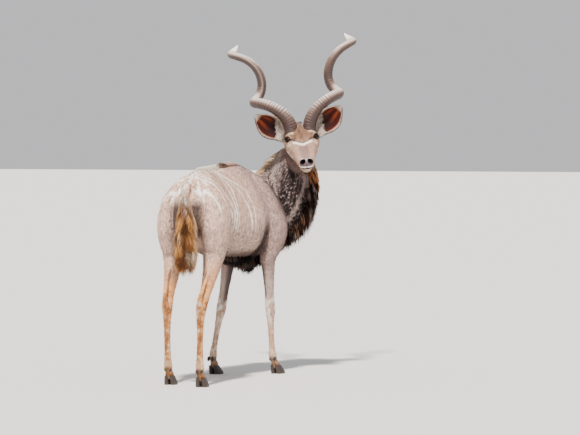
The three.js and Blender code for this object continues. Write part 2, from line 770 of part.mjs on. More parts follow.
// Ears. Leaves cupped towards the camera side: along the ear, reach above and below its line,
// depth of the cup.
const EAR_ROOT = [98, 12, 62];
const EAR_TIP = [283, 190, 18];
const EAR = [
  [-0.12, 26, 24, 20],
  [0.04, 34, 30, 30],
  [0.2, 56, 46, 46],
  [0.38, 80, 70, 50],
  [0.55, 82, 78, 42],
  [0.7, 72, 68, 30],
  [0.84, 48, 46, 16],
  [0.94, 25, 25, 7],
  [1, 9, 9, 2],
];
function ear(side, grow = 0) {
  const rootPlace = fromEyes(side * EAR_ROOT[0], EAR_ROOT[1], EAR_ROOT[2]);
  const tipPlace = fromEyes(side * EAR_TIP[0], EAR_TIP[1], EAR_TIP[2]);
  const length = rootPlace.distanceTo(tipPlace);
  const along = tipPlace.clone().sub(rootPlace).normalize();
  const depth = back.clone().addScaledVector(along, -back.dot(along)).normalize();
  const above = depth.clone().cross(along).normalize().multiplyScalar(side);
  if (above.dot(headUp) < 0) above.negate();
  const across = 8;
  const thick = 6 + 2 * grow;
  const points = [];
  const shares = EAR.map((row) => row[0]);
  const stations = 8;
  for (let i = 0; i <= stations; i++) {
    const share = -0.12 + 1.12 * (i / stations) ** 0.95;
    const [over, under, cup] = [1, 2, 3].map((column) =>
      through(shares, EAR.map((row) => row[column]), share),
    );
    const centre = rootPlace.clone().addScaledVector(along, share * length);
    for (const layer of [0, 1]) {
      for (let k = 0; k <= across; k++) {
        const angle = (k / across - 0.5) * Math.PI;
        const reach = angle < 0 ? under : over;
        const skin = layer ? -thick * Math.max(0.12, Math.cos(angle)) : 0;
        points.push(
          centre
            .clone()
            .addScaledVector(above, Math.sin(angle) * (reach + grow - (layer ? 1.5 : 0)))
            .addScaledVector(depth, Math.cos(angle) * cup + skin + grow),
        );
      }
    }
  }
  const row = 2 * (across + 1);
  const ringOf = (i) => {
    const ring = [];
    for (let k = 0; k <= across; k++) ring.push(i * row + k);
    for (let k = across; k >= 0; k--) ring.push(i * row + across + 1 + k);
    return ring;
  };
  const triangles = [];
  for (let i = 0; i < stations; i++) {
    const [near, far] = [ringOf(i), ringOf(i + 1)];
    near.forEach((a, k) => {
      const next = (k + 1) % near.length;
      triangles.push([a, near[next], far[k]], [near[next], far[next], far[k]]);
    });
  }
  for (const [i, flip] of [[0, false], [stations, true]]) {
    for (let k = 0; k < across; k++) {
      const [a, b] = [i * row + k, i * row + k + 1];
      const [c, d] = [a + across + 1, b + across + 1];
      const faces = [[a, c, b], [b, c, d]];
      faces.forEach(([x, y, z]) => triangles.push(flip ? [x, z, y] : [x, y, z]));
    }
  }
  return solid(points, triangles);
}

// Hooves: two claws on each foot, with a flat sole and a sloping toe.
const CLAW = [
  [0, 8, 19.5, 52, 40],
  [12, 6, 20, 50, 40],
  [34, -6, 18, 40, 36],
  [HOOF_HEIGHT, -20, 15.5, 30, 30],
];
function footOf(name) {
  const { side, hoofForward, hoofAside } = FEET[name];
  const fore = name.startsWith("fore");
  const rows = (fore ? foreLeg : hindLeg)(hoofForward, hoofAside);
  const stations = legStations(rows, side, fore ? 1110 : 200, fore ? onTrunk : at);
  return { centre: stations.at(-1).centre.clone().setZ(0), front: stations.at(-1).up };
}
function claw(name, which) {
  const { centre, front } = footOf(name);
  const outward = front.clone().cross(UP).normalize();
  const toe = front.clone().applyAxisAngle(UP, -which * 0.07);
  const stations = CLAW.map(([height, forward, side, before, behind]) =>
    station(
      centre
        .clone()
        .addScaledVector(outward, which * (side + 1.2))
        .addScaledVector(front, forward + 12)
        .addScaledVector(UP, height),
      toe,
      side,
      before,
      behind,
      1.7,
      2.2,
    ),
  );
  return loft(stations, { steps: 1, sides: 12, direction: UP });
}

// Dew claws: two small claws behind each pastern.
function dewClaws(name) {
  const { centre, front } = footOf(name);
  const outward = front.clone().cross(UP).normalize();
  return [-1, 1].map((which) =>
    ellipsoid(
      centre
        .clone()
        .addScaledVector(outward, which * 17)
        .addScaledVector(front, -62)
        .setZ(104),
      [outward, front, UP],
      [9, 12, 17],
      4,
      6,
    ),
  );
}

// Face

// The lids: a rim round each eye, longer along the face than across it.
function lids(side, eyePlace) {
  const look = headTowards(side * 0.72, 0.6, 0.36).normalize();
  const lengthwise = headAlong.clone().addScaledVector(look, -headAlong.dot(look)).normalize();
  const across = look.clone().cross(lengthwise).normalize();
  const frame = new THREE.Matrix4()
    .makeBasis(lengthwise, across, look)
    .setPosition(eyePlace.clone().addScaledVector(look, 9));
  frame.scale(v3(1.2, 0.92, 1));
  return solidFrom(new THREE.TorusGeometry(21, 6, 4, 12), frame);
}

const nostrilPlace = (side) => inHead(side * 26, -20, 374);
const nostrilAxes = (side) => {
  const look = headTowards(side * 0.5, 0.35, 0.8).normalize();
  const slant = headTowards(side * 0.75, -0.5, 0).normalize();
  const long = slant.clone().addScaledVector(look, -slant.dot(look)).normalize();
  return [long, look.clone().cross(long).normalize(), look];
};
const nostril = (side) =>
  ellipsoid(nostrilPlace(side), nostrilAxes(side), [14, 9, 12], 4, 8);
function nostrilRim(side) {
  const frame = new THREE.Matrix4()
    .makeBasis(...nostrilAxes(side))
    .setPosition(nostrilPlace(side));
  frame.scale(v3(1.25, 0.85, 1));
  return solidFrom(new THREE.TorusGeometry(14, 5, 4, 9), frame);
}

const fleshGrown = flesh(GAP);
const SIDES = { left: 1, right: -1 };
const horns = {};
for (const [name, side] of Object.entries(SIDES)) {
  horns[name] = horn(side).subtract(fleshGrown);
}
const hornsGrown = Object.values(SIDES).map((side) => horn(side, 1.2));
const ears = {};
for (const [name, side] of Object.entries(SIDES)) {
  ears[name] = ear(side).subtract(union([fleshGrown, horn(side, 1.2), horns[name]]));
}
const keepClear = union([
  ...hornsGrown,
  ...Object.values(horns),
  ...Object.values(SIDES).map((side) => ear(side, 1)),
  ...Object.values(ears),
]);
const locks = union([...LOCKS.flatMap(ridgeLocks), ...pollLocks()]).subtract(keepClear);
const whole = union([flesh(), locks, ...Object.keys(FEET).flatMap(dewClaws)]);
const headPart = whole.intersect(headRegion(0));
const notHead = whole.subtract(headRegion(GAP));
const neckPart = notHead.intersect(neckRegion(0));
let trunk = notHead.subtract(neckRegion(GAP));
const legs = {};
for (const name of Object.keys(FEET)) {
  legs[name] = trunk.intersect(legRegion(name, 0));
  trunk = trunk.subtract(legRegion(name, GAP));
}

// Nodes and materials
const COAT = { color: 0x8d7d70, roughness: 0.85, metalness: 0 };
const DARK_COAT = { color: 0x6f5f52, roughness: 0.88, metalness: 0 };
const HORN_LOOK = { color: 0x5a4a3e, roughness: 0.5, metalness: 0 };
const HOOF_LOOK = { color: 0x1c1815, roughness: 0.4, metalness: 0 };
const EYE_LOOK = { color: 0x0c0806, roughness: 0.08, metalness: 0 };
const root = new THREE.Group();
root.name = "greater_kudu";

function addNode(name, made, look) {
  const mesh = largest(made).getMesh();
  const position = new Float32Array(mesh.numVert * 3);
  for (let i = 0; i < mesh.numVert; i++) {
    for (let k = 0; k < 3; k++) {
      position[i * 3 + k] = mesh.vertProperties[i * mesh.numProp + k];
    }
  }
  const geometry = new THREE.BufferGeometry();
  geometry.setAttribute("position", new THREE.BufferAttribute(position, 3));
  geometry.setIndex(new THREE.BufferAttribute(mesh.triVerts, 1));
  geometry.computeVertexNormals();
  const node = new THREE.Mesh(geometry, new THREE.MeshStandardMaterial(look));
  node.name = name;
  root.add(node);
}

let headNode = headPart;
for (const [name, side] of Object.entries(SIDES)) {
  const eyePlace = inHead(side * EYE.left, EYE.out, EYE.along);
  const ball = (radius) =>
    ellipsoid(eyePlace, HEAD_AXES, [radius, radius, radius], 6, 12);
  headNode = union([headNode, lids(side, eyePlace), nostrilRim(side)])
    .subtract(ball(EYE.radius + GAP))
    .subtract(nostril(side));
  addNode(`eye_${name}`, ball(EYE.radius), EYE_LOOK);
  addNode(`horn_${name}`, horns[name], HORN_LOOK);
  addNode(`ear_${name}`, ears[name], COAT);
}
addNode("head", headNode, COAT);
addNode("neck", neckPart, DARK_COAT);
addNode("torso", trunk, COAT);
const tailRings = ringsThrough(tailStations, 1);
const tail = union([tube(tailRings, 8), ...tailLocks(tailRings)]);
addNode("tail", tail.subtract(union([fleshGrown, whole])), COAT);
for (const name of Object.keys(FEET)) {
  addNode(`leg_${name}`, legs[name], COAT);
  addNode(`hoof_${name}_outer`, claw(name, 1), HOOF_LOOK);
  addNode(`hoof_${name}_inner`, claw(name, -1), HOOF_LOOK);
}

export default root;
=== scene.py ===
import math

import bmesh
import bpy
import numpy as np
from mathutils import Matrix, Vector


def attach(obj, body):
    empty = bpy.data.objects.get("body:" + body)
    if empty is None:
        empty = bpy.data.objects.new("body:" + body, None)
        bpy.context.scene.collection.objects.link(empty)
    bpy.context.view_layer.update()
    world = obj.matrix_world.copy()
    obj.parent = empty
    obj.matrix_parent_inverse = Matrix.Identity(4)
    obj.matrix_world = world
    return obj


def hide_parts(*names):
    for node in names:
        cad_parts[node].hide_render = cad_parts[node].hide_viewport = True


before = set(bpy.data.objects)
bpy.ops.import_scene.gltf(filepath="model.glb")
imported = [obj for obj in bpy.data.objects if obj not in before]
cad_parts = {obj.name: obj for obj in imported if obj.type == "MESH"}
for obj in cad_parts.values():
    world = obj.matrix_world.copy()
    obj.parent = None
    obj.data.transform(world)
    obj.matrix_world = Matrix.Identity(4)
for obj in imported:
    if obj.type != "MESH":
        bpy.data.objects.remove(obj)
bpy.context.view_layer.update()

# The greater kudu bull, dressed: one skin over the flesh, a short coat of tufts, long locks on the
# crest, nape, throat, brisket and tail, and finer horns, ears, eyes and hooves.
# Sizes are in millimetres, and the meshes in metres. Places on the animal are (right, forward, up)
# from the point under its tail.
MM = 0.001
CENTRE = np.array([228.8, 912.4, 0.0])
UP = np.array([0.0, 0.0, 1.0])
SIDES = {"left": 1, "right": -1}

WITHERS = 1374
BACK = 1360
BELLY = 762
TURN_START = 500
TURN = math.radians(20)
BEND_RADIUS = 850 / TURN
LEAN = 0.12
LEAN_FULL, LEAN_TOP, LEAN_LOW = 1100, 1300, 850  # where the lean is whole, and its heights
FORE_STATION, HIND_STATION = 1110, 200  # of the legs, along the trunk
HOOF_HEIGHT = 58

COAT_DEPTH = 5  # of the short coat over the skin
SKIN_VOXEL = 6.3


# Vectors and curves

def unit(vectors):
    vectors = np.asarray(vectors, float)
    return vectors / np.maximum(np.linalg.norm(vectors, axis=-1, keepdims=True), 1e-12)


def place(right, forward, up):
    return np.array([-right, -forward, up]) + CENTRE


def towards(right, forward, up):
    return unit([-right, -forward, up])


def ramp(low, high, value):
    """0 up to low, 1 from high, and smooth between them."""
    share = np.clip((value - low) / (high - low), 0, 1)
    return share * share * (3 - 2 * share)


def fall(low, high, value):
    return 1 - ramp(low, high, value)


def near(value, middle, half, soft):
    """1 within half of the middle, and 0 from soft beyond that."""
    return fall(half, half + soft, np.abs(value - middle))


def bell(*pairs):
    """A bump that is 1 where every value is 0 and small about a width from there."""
    return np.exp(-sum((value / width) ** 2 for value, width in pairs))


def turned(vector, axis, angle):
    axis = unit(axis)
    return (
        vector * math.cos(angle)
        + np.cross(axis, vector) * math.sin(angle)
        + axis * (axis @ vector) * (1 - math.cos(angle))
    )


def on_trunk(right_of_line, forward, up):
    share = ramp(TURN_START, LEAN_FULL, forward)
    right = right_of_line + LEAN * share * (LEAN_TOP - max(up, LEAN_LOW))
    turn = max(0, forward - TURN_START) / BEND_RADIUS
    straight = min(forward, TURN_START)
    along = straight + math.sin(turn) * BEND_RADIUS - right * math.sin(turn)
    aside = (1 - math.cos(turn)) * BEND_RADIUS + right * math.cos(turn)
    return place(aside, along, up)


def trunk_towards(right, forward, up, station):
    turn = max(0, station - TURN_START) / BEND_RADIUS
    return towards(
        right * math.cos(turn) + forward * math.sin(turn),
        forward * math.cos(turn) - right * math.sin(turn),
        up,
    )


def off_trunk(points):
    """The (right, forward, up) that the bent trunk has at points, as if it were straight."""
    right = -(points[:, 0] - CENTRE[0])
    forward = -(points[:, 1] - CENTRE[1])
    up = points[:, 2]
    ahead = np.maximum(forward - TURN_START, 0)
    turn = np.arctan2(ahead, BEND_RADIUS - right)
    bent_right = BEND_RADIUS - np.hypot(BEND_RADIUS - right, ahead)
    bent = forward > TURN_START
    straight_right = np.where(bent, bent_right, right)
    straight_forward = np.where(bent, TURN_START + turn * BEND_RADIUS, forward)
    share = ramp(TURN_START, LEAN_FULL, straight_forward)
    straight_right = straight_right - LEAN * share * (LEAN_TOP - np.maximum(up, LEAN_LOW))
    return np.stack([straight_right, straight_forward, up], axis=1)


def through(knots, values, x):
    """A smooth curve through rows of values at knots, read at x."""
    knots = np.asarray(knots, float)
    values = np.asarray(values, float)
    x = np.atleast_1d(np.asarray(x, float))
    last = len(knots) - 1
    before = np.maximum(np.arange(last + 1) - 1, 0)
    after = np.minimum(np.arange(last + 1) + 1, last)
    span = (knots[after] - knots[before])
    slopes = (values[after] - values[before]) / span.reshape(-1, *[1] * (values.ndim - 1))
    i = np.clip(np.searchsorted(knots, x, side="right") - 1, 0, last - 1)
    h = knots[i + 1] - knots[i]
    t = (x - knots[i]) / h
    h, t = (a.reshape(-1, *[1] * (values.ndim - 1)) for a in (h, t))
    return (
        (2 * t**3 - 3 * t**2 + 1) * values[i]
        + (t**3 - 2 * t**2 + t) * h * slopes[i]
        + (3 * t**2 - 2 * t**3) * values[i + 1]
        + (t**3 - t**2) * h * slopes[i + 1]
    )


class Rings:
    """The rings of a loft: centre, up, side, along, and the sizes
    (half width, reach above, reach below, upper power, lower power)."""

    def __init__(self, stations, steps, direction=None):
        table = np.array([[*centre, *up, *sizes] for centre, up, sizes in stations], float)
        gaps = np.linalg.norm(np.diff(table[:, :3], axis=0), axis=1)
        knots = np.concatenate([[0], np.cumsum(gaps)])
        order = np.arange((len(table) - 1) * steps + 1) / steps
        rows = through(knots, table, np.interp(order, np.arange(len(table)), knots))
        self.centre = rows[:, :3]
        self.sizes = rows[:, 6:]
        ahead = np.vstack([self.centre[1:], self.centre[-1:]])
        behind = np.vstack([self.centre[:1], self.centre[:-1]])
        self.along = unit(ahead - behind)
        if direction is not None:
            self.along = np.tile(direction, (len(rows), 1))
        self.side = unit(np.cross(self.along, rows[:, 3:6]))
        self.up = unit(np.cross(self.side, self.along))

    def points(self, rows, angles, grow=0):
        """Places on the rings' surface, at row numbers and angles from the side to the top."""
        cosine, sine = np.cos(angles), np.sin(angles)
        side, top, bottom, upper, lower = self.sizes[rows].T
        power = 2 / np.where(sine > 0, upper, lower)
        reach = np.where(sine > 0, top, bottom)
        x = np.sign(cosine) * np.abs(cosine) ** power * (side + grow)
        y = np.sign(sine) * np.abs(sine) ** power * (reach + grow)
        return self.centre[rows] + self.side[rows] * x[:, None] + self.up[rows] * y[:, None]

    def on_surface(self, shares, angles):
        """Places at shares of the length, with the way out and the way along there."""
        x = np.clip(shares, 0, 1) * (len(self.centre) - 1)
        row = np.minimum(x.astype(int), len(self.centre) - 2)
        part = (x - row)[:, None]
        spot = self.points(row, angles) * (1 - part) + self.points(row + 1, angles) * part
        centre = self.centre[row] * (1 - part) + self.centre[row + 1] * part
        return spot, unit(spot - centre), unit(self.centre[row + 1] - self.centre[row])

    def mesh(self, sides, grow=0):
        """Vertices and faces of the closed loft."""
        count = len(self.centre)
        rows = np.repeat(np.arange(count), sides)
        angles = np.tile((np.arange(sides) + 0.5) / sides * 2 * math.pi, count)
        points = self.points(rows, angles, grow)
        faces = []
        for i in range(count - 1):
            for k in range(sides):
                a, b = i * sides + k, i * sides + (k + 1) % sides
                faces.append((a, a + sides, b + sides, b))
        faces.append(tuple(range(sides)))
        faces.append(tuple(reversed(range((count - 1) * sides, count * sides))))
        return points, faces


# The body's tables

# forward, top, bottom, height of the widest line, half width, upper power, lower power
TORSO = [
    (-12, 1165, 1030, 1100, 34, 2, 2),
    (10, 1222, 985, 1100, 74, 2, 2),
    (70, 1272, 915, 1085, 110, 1.8, 2),
    (180, 1325, 868, 1085, 142, 1.75, 2),
    (330, 1358, 846, 1085, 166, 1.7, 2.1),
    (500, BACK, 822, 1060, 182, 1.7, 2.2),
    (680, 1362, BELLY + 14, 1030, 206, 1.7, 2.2),
    (850, 1364, BELLY, 1010, 217, 1.65, 2.1),
    (980, 1372, BELLY - 6, 1010, 208, 1.55, 2),
    (1080, WITHERS, BELLY - 10, 1010, 190, 1.5, 1.9),
    (1180, 1352, 772, 1020, 168, 1.6, 1.8),
    (1270, 1305, 815, 1035, 142, 1.8, 1.8),
    (1340, 1225, 890, 1050, 104, 2, 2),
    (1382, 1140, 970, 1060, 46, 2, 2),
]
# centre, the way the crest points, half width, reach to the crest and to the throat
NECK = [
    ((95, 1130, 1105), (0, -0.35, 0.94), 150, 192, 250),
    ((145, 1235, 1095), (-0.2, -0.3, 0.93), 146, 196, 258),
    ((210, 1330, 1125), (-0.45, -0.18, 0.88), 134, 190, 236),
    ((272, 1400, 1205), (-0.72, 0, 0.66), 120, 170, 202),
    ((330, 1435, 1320), (-0.82, 0.1, 0.5), 108, 150, 164),
    ((370, 1430, 1425), (-0.8, 0.5, 0.3), 98, 128, 120),
    ((392, 1400, 1508), (-0.45, 0.87, 0.1), 62, 62, 64),
]
# along the face, height of the middle, half width, reach above and below, two powers
HEAD = [
    (-78, -108, 30, 24, 26, 2, 2),
    (-50, -98, 66, 58, 54, 2, 2),
    (0, -84, 96, 88, 86, 2.4, 2),
    (50, -74, 112, 86, 104, 2.6, 2.3),
    (88, -66, 118, 78, 116, 2.6, 2.4),
    (122, -60, 115, 68, 118, 2.5, 2.4),
    (165, -60, 102, 62, 108, 2.3, 2.4),
    (215, -60, 88, 56, 88, 2.2, 2.3),
    (270, -58, 74, 51, 60, 2.2, 2.3),
    (320, -53, 64, 48, 38, 2.3, 2.5),
    (350, -49, 60, 47, 30, 2.4, 2.6),
    (370, -47, 51, 42, 26, 2.3, 2.6),
    (386, -46, 30, 27, 17, 2, 2.2),
]
JAW = [
    (100, -112, 74, 26, 60, 2, 2.2),
    (170, -112, 70, 30, 56, 2, 2.2),
    (240, -105, 56, 28, 42, 2, 2.2),
    (310, -95, 45, 16, 31, 2.2, 2.2),
    (345, -91, 41, 15, 28, 2.4, 2.2),
    (362, -89, 34, 13, 23, 2.4, 2),
    (373, -88, 18, 8, 13, 2, 2),
]
# centre, half width, reach behind and in front
TAIL = [
    ((0, 66, 1256), 22, 20, 24),
    ((0, 24, 1250), 26, 24, 26),
    ((2, -16, 1212), 29, 24, 24),
    ((8, -34, 1140), 34, 24, 20),
    ((14, -44, 1060), 46, 26, 20),
    ((16, -50, 970), 54, 28, 22),
    ((15, -50, 880), 50, 26, 20),
    ((12, -47, 800), 34, 18, 14),
    ((10, -45, 738), 8, 7, 6),
]
# right, forward, up, half width, reach in front and behind
HIND_LEG = [
    (52, 300, 1300, 30, 60, 60),
    (94, 272, 1225, 60, 128, 140),
    (126, 238, 1125, 84, 176, 192),
    (138, 205, 1020, 91, 190, 186),
    (140, 205, 920, 84, 172, 150),
    (136, 205, 830, 68, 122, 112),
    (134, 168, 735, 52, 74, 76),
    (130, 108, 640, 41, 52, 52),
    (126, 48, 565, 36, 42, 42),
    (122, 8, 505, 36, 42, 44),
    (120, -4, 440, 29, 32, 36),
    (120, -4, 350, 23, 25, 29),
    (120, 2, 240, 22, 23, 27),
    (120, 8, 160, 26, 26, 30),
    (120, 14, 122, 29, 30, 32),
    (120, 30, 88, 25, 25, 25),
    (120, 48, 62, 31, 34, 30),
    (120, 56, 44, 27, 30, 26),
]
HOCK_TENDON = [
    (138, 112, 742, 12, 14, 14),
    (132, 40, 660, 14, 14, 14),
    (126, -24, 592, 16, 17, 15),
    (122, -44, 552, 19, 22, 18),
    (121, -36, 512, 18, 22, 17),
    (120, -16, 450, 12, 12, 12),
]
SHOULDER = [
    (40, 1090, 1322, 22, 40, 44),
    (84, 1118, 1248, 48, 90, 92),
    (114, 1164, 1150, 64, 124, 130),
    (134, 1205, 1045, 74, 132, 150),
    (144, 1206, 955, 74, 128, 146),
    (142, 1172, 875, 66, 110, 118),
    (134, 1132, 800, 58, 82, 88),
    (128, 1114, 728, 44, 56, 60),
]
FORE_LEG = [
    (130, 1118, 870, 36, 50, 60),
    (130, 1112, 800, 46, 56, 66),
    (128, 1110, 720, 43, 50, 54),
    (126, 1110, 620, 36, 41, 41),
    (125, 1110, 520, 31, 35, 34),
    (125, 1112, 455, 34, 36, 36),
    (125, 1112, 410, 33, 34, 36),
    (125, 1108, 365, 26, 26, 30),
    (125, 1106, 280, 21, 22, 26),
    (125, 1106, 185, 21, 22, 26),
    (125, 1108, 124, 28, 29, 31),
    (125, 1124, 88, 24, 24, 25),
    (125, 1142, 62, 30, 33, 29),
    (125, 1150, 44, 26, 29, 25),
]
# side of the body, how far ahead of its place the hoof stands, and how far aside
FEET = {
    "hind_right": (1, -42, 97),
    "hind_left": (-1, 95, 144),
    "fore_right": (1, 88, 134),
    "fore_left": (-1, -150, 205),
}
# how far aside the legs' tables have the hooves, and the height where a leg starts to lean
HIND_ASIDE, HIND_REACH = 120, 1150
FORE_ASIDE, FORE_REACH = 125, 900

# The head's own axes: left, out of the forehead, and along the face from the poll to the nose.
HEAD_TURN = math.radians(162)
HEAD_PITCH = math.radians(37)
HEAD_ROLL = math.radians(6.5)
EYE_MIDDLE = place(436, 1265, 1530)
EYE_LEFT, EYE_OUT, EYE_ALONG, EYE_RADIUS = 89, -20, 122, 22
EYE_LINE_OUT = -34
facing = towards(math.sin(HEAD_TURN), math.cos(HEAD_TURN), 0)
head_up = turned(UP, facing, HEAD_ROLL)
head_left = np.cross(head_up, facing)
head_along = turned(facing, head_left, HEAD_PITCH)
head_out = np.cross(head_along, head_left)
HEAD_AXES = np.array([head_left, head_out, head_along])


def in_head(left, out, along):
    local = np.array([left, out - EYE_LINE_OUT, along - EYE_ALONG])
    return EYE_MIDDLE + local @ HEAD_AXES


def head_coordinates(points):
    local = (points - EYE_MIDDLE) @ HEAD_AXES.T
    return local + np.array([0, EYE_LINE_OUT, EYE_ALONG])


def head_station(row):
    along, middle, *sizes = row
    return in_head(0, middle, along), head_out, sizes


def torso_station(row):
    forward, top, bottom, widest, side, upper, lower = row
    up = unit(on_trunk(0, forward, 1300) - on_trunk(0, forward, 900))
    return on_trunk(0, forward, widest), up, (side, top - widest, widest - bottom, upper, lower)


def leg_rows(rows, hoof_forward, spread, reach):
    """A leg's rows, leaned and spread so that its hoof stands where it does."""
    return [
        (right + spread * (1 - up / reach), forward + hoof_forward * (1 - up / reach), up, *sizes)
        for right, forward, up, *sizes in rows
    ]


def leg_stations(rows, side, station, on_body):
    front = trunk_towards(0, 1, 0, station)
    return [
        (on_body(side * right, forward, up), front, (width, before, behind, 2, 2))
        for right, forward, up, width, before, behind in rows
    ]


def leg_rings(name, steps):
    side, hoof_forward, hoof_aside = FEET[name]
    if name.startswith("hind"):
        spread = hoof_aside - HIND_ASIDE
        leg = leg_rows(HIND_LEG, hoof_forward, spread, HIND_REACH)
        tendon = leg_rows(HOCK_TENDON, hoof_forward, spread, HIND_REACH)
        return {
            "leg_" + name: Rings(leg_stations(leg, side, HIND_STATION, place), steps),
            "tendon_" + name: Rings(leg_stations(tendon, side, HIND_STATION, place), steps),
        }
    leg = leg_rows(FORE_LEG, hoof_forward, hoof_aside - FORE_ASIDE, FORE_REACH)
    return {
        "shoulder_" + name: Rings(leg_stations(SHOULDER, side, FORE_STATION, on_trunk), steps),
        "leg_" + name: Rings(leg_stations(leg, side, FORE_STATION, on_trunk), steps),
    }


def body_rings(steps):
    neck = [
        (place(*centre), towards(*crest), (side, top, bottom, 1.8, 1.9))
        for centre, crest, side, top, bottom in NECK
    ]
    tail = [
        (place(*centre), towards(0, -1, 0.25), (side, top, bottom, 2, 2))
        for centre, side, top, bottom in TAIL
    ]
    rings = {
        "torso": Rings([torso_station(row) for row in TORSO], steps),
        "neck": Rings(neck, steps),
        "head": Rings([head_station(row) for row in HEAD], steps),
        "jaw": Rings([head_station(row) for row in JAW], steps),
        "tail": Rings(tail, steps),
    }
    for name in FEET:
        rings.update(leg_rings(name, steps))
    return rings


PARTS = body_rings(4)


# Meshes

def link_object(name, data):
    made = bpy.data.objects.new(name, data)
    bpy.context.scene.collection.objects.link(made)
    return made


def mesh_object(name, points, faces):
    """A new object from points in millimetres and a list or an array of faces."""
    mesh = bpy.data.meshes.new(name)
    points = np.asarray(points, float) * MM
    if isinstance(faces, np.ndarray):
        count, corners = faces.shape
        mesh.vertices.add(len(points))
        mesh.vertices.foreach_set("co", points.ravel())
        mesh.loops.add(count * corners)
        mesh.loops.foreach_set("vertex_index", faces.ravel().astype(np.int32))
        mesh.polygons.add(count)
        mesh.polygons.foreach_set("loop_start", np.arange(count, dtype=np.int32) * corners)
        mesh.update(calc_edges=True)
    else:
        mesh.from_pydata(points.tolist(), [], faces)
        mesh.update()
    mesh.polygons.foreach_set("use_smooth", np.ones(len(mesh.polygons), bool))
    return link_object(name, mesh)


def vertices_of(mesh):
    flat = np.empty(len(mesh.vertices) * 3)
    mesh.vertices.foreach_get("co", flat)
    return flat.reshape(-1, 3) / MM


def normals_of(mesh):
    flat = np.empty(len(mesh.vertices) * 3, np.float32)
    mesh.vertex_normals.foreach_get("vector", flat)
    return flat.reshape(-1, 3).astype(float)


def set_vertices(mesh, points):
    mesh.vertices.foreach_set("co", (points * MM).ravel())
    mesh.update()


def paint(made, colours):
    """Gives each vertex its colour, linear red, green and blue."""
    attribute = made.data.color_attributes.new("coat", "FLOAT_COLOR", "POINT")
    rgba = np.ones((len(made.data.vertices), 4), np.float32)
    rgba[:, :3] = np.clip(colours, 0, 1)
    attribute.data.foreach_set("color", rgba.ravel())


def finish_piece(made, material, replaced=()):
    made.data.materials.clear()
    made.data.materials.append(material)
    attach(made, "root")
    if replaced:
        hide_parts(*replaced)


def smoothed(mesh, rounds):
    """A mesh's points, rounded off without shrinking it much."""
    edges = np.empty(len(mesh.edges) * 2, np.int32)
    mesh.edges.foreach_get("vertices", edges)
    a, b = edges.reshape(-1, 2).T
    points = vertices_of(mesh)
    size = len(points)
    count = np.bincount(edges, minlength=size)[:, None]
    for step in range(rounds * 2):
        total = np.stack([
            np.bincount(a, points[b, k], size) + np.bincount(b, points[a, k], size)
            for k in range(3)
        ], axis=1)
        weight = 0.6 if step % 2 == 0 else -0.5
        points = points + weight * (total / count - points)
    return points


def fix_normals(made):
    data = bmesh.new()
    data.from_mesh(made.data)
    bmesh.ops.recalc_face_normals(data, faces=data.faces)
    data.to_mesh(made.data)
    data.free()


# Markings

def srgb(red, green, blue):
    value = np.array([red, green, blue]) / 255
    return np.where(value <= 0.04045, value / 12.92, ((value + 0.055) / 1.055) ** 2.4)


FLANK = srgb(208, 180, 165)
RUMP = srgb(222, 190, 172)
BACK_PALE = srgb(246, 228, 214)
LOIN = srgb(200, 160, 134)
SHOULDER_GREY = srgb(164, 138, 131)
NECK_PALE = srgb(180, 160, 154)
NECK_GREY = srgb(112, 94, 92)
DARK = srgb(30, 23, 24)
BELLY_SHADE_AND_HAIR = srgb(92, 76, 70)
# the colour of the painted shade under the belly, and also a colour of the brisket's hair
CREST_BROWN = srgb(84, 54, 40)
CREAM = srgb(228, 208, 180)
WHITE = srgb(244, 238, 228)
BEARD_TAN = srgb(170, 108, 62)
TAIL_GOLD = srgb(204, 146, 84)
TAIL_BROWN = srgb(112, 68, 40)
LEG_GOLD = srgb(214, 152, 96)
FORE_GREY = srgb(174, 156, 146)
FACE = srgb(184, 152, 134)
FOREHEAD = srgb(140, 102, 76)
BRIDGE = srgb(134, 108, 102)
NOSE_PAD = srgb(112, 96, 102)
NOSE = srgb(20, 16, 18)
EAR_PINK = srgb(206, 168, 150)
EAR_BACK = srgb(120, 98, 86)
EAR_INSIDE = srgb(64, 22, 15)
EAR_GLOW = srgb(126, 52, 28)
HORN_GREY = srgb(140, 116, 104)
HORN_BROWN = srgb(92, 68, 56)
HORN_DARK = srgb(58, 40, 36)
HORN_PALE = srgb(230, 218, 210)
HOOF_GREY, HOOF_BAND, HOOF_WORN = srgb(44, 36, 33), srgb(84, 68, 58), srgb(96, 80, 68)
EYE_BROWN, IRIS_BROWN, PUPIL_BLACK = srgb(14, 10, 10), srgb(18, 11, 9), srgb(4, 4, 5)
IVORY = srgb(240, 232, 220)

# Each stripe: its place along the trunk near the spine, at the flank's top and low on the flank,
# and the height where it fades.
STRIPES = [
    (160, 88, 102, 1090),
    (162, 205, 250, 1010),
    (200, 290, 480, 1000),
    (330, 430, 525, 985),
    (450, 534, 556, 960),
    (520, 592, 584, 975),
    (560, 690, 764, 965),
    (568, 796, 822, 985),
]
STRIPE_LEVELS = (1322, 1200, 1060)
STRIPE_HALF = 9
CHEEK_SPOTS = [(180, -84, 10), (214, -96, 12), (238, -78, 7)]  # along, out, size


def columns(*values):
    return np.stack(np.broadcast_arrays(*values), axis=1)


def ripple(points, scale, seed):
    """Smooth noise from about -1 to 1 with waves of about the given length."""
    random = np.random.default_rng(seed)
    total = np.zeros(len(points))
    for _ in range(7):
        way = unit(random.normal(size=3)) * 2 * math.pi / (scale * random.uniform(0.6, 1.6))
        total += np.sin(points @ way + random.uniform(0, 2 * math.pi))
    return total / 3.2


def streaks(share, angle, width, seed):
    """Noise in lines that run along a part."""
    return ripple(columns(angle * 120, share * 80, 0), width, seed)


def mix(colours, other, share):
    share = np.clip(share, 0, 1)
    if np.ndim(share) == 1:
        share = share[:, None]
    return colours * (1 - share) + other * share


def layers(colour, *coats):
    """A colour with others laid over it in turn, each by its share."""
    for other, share in coats:
        colour = mix(colour, other, share)
    return colour


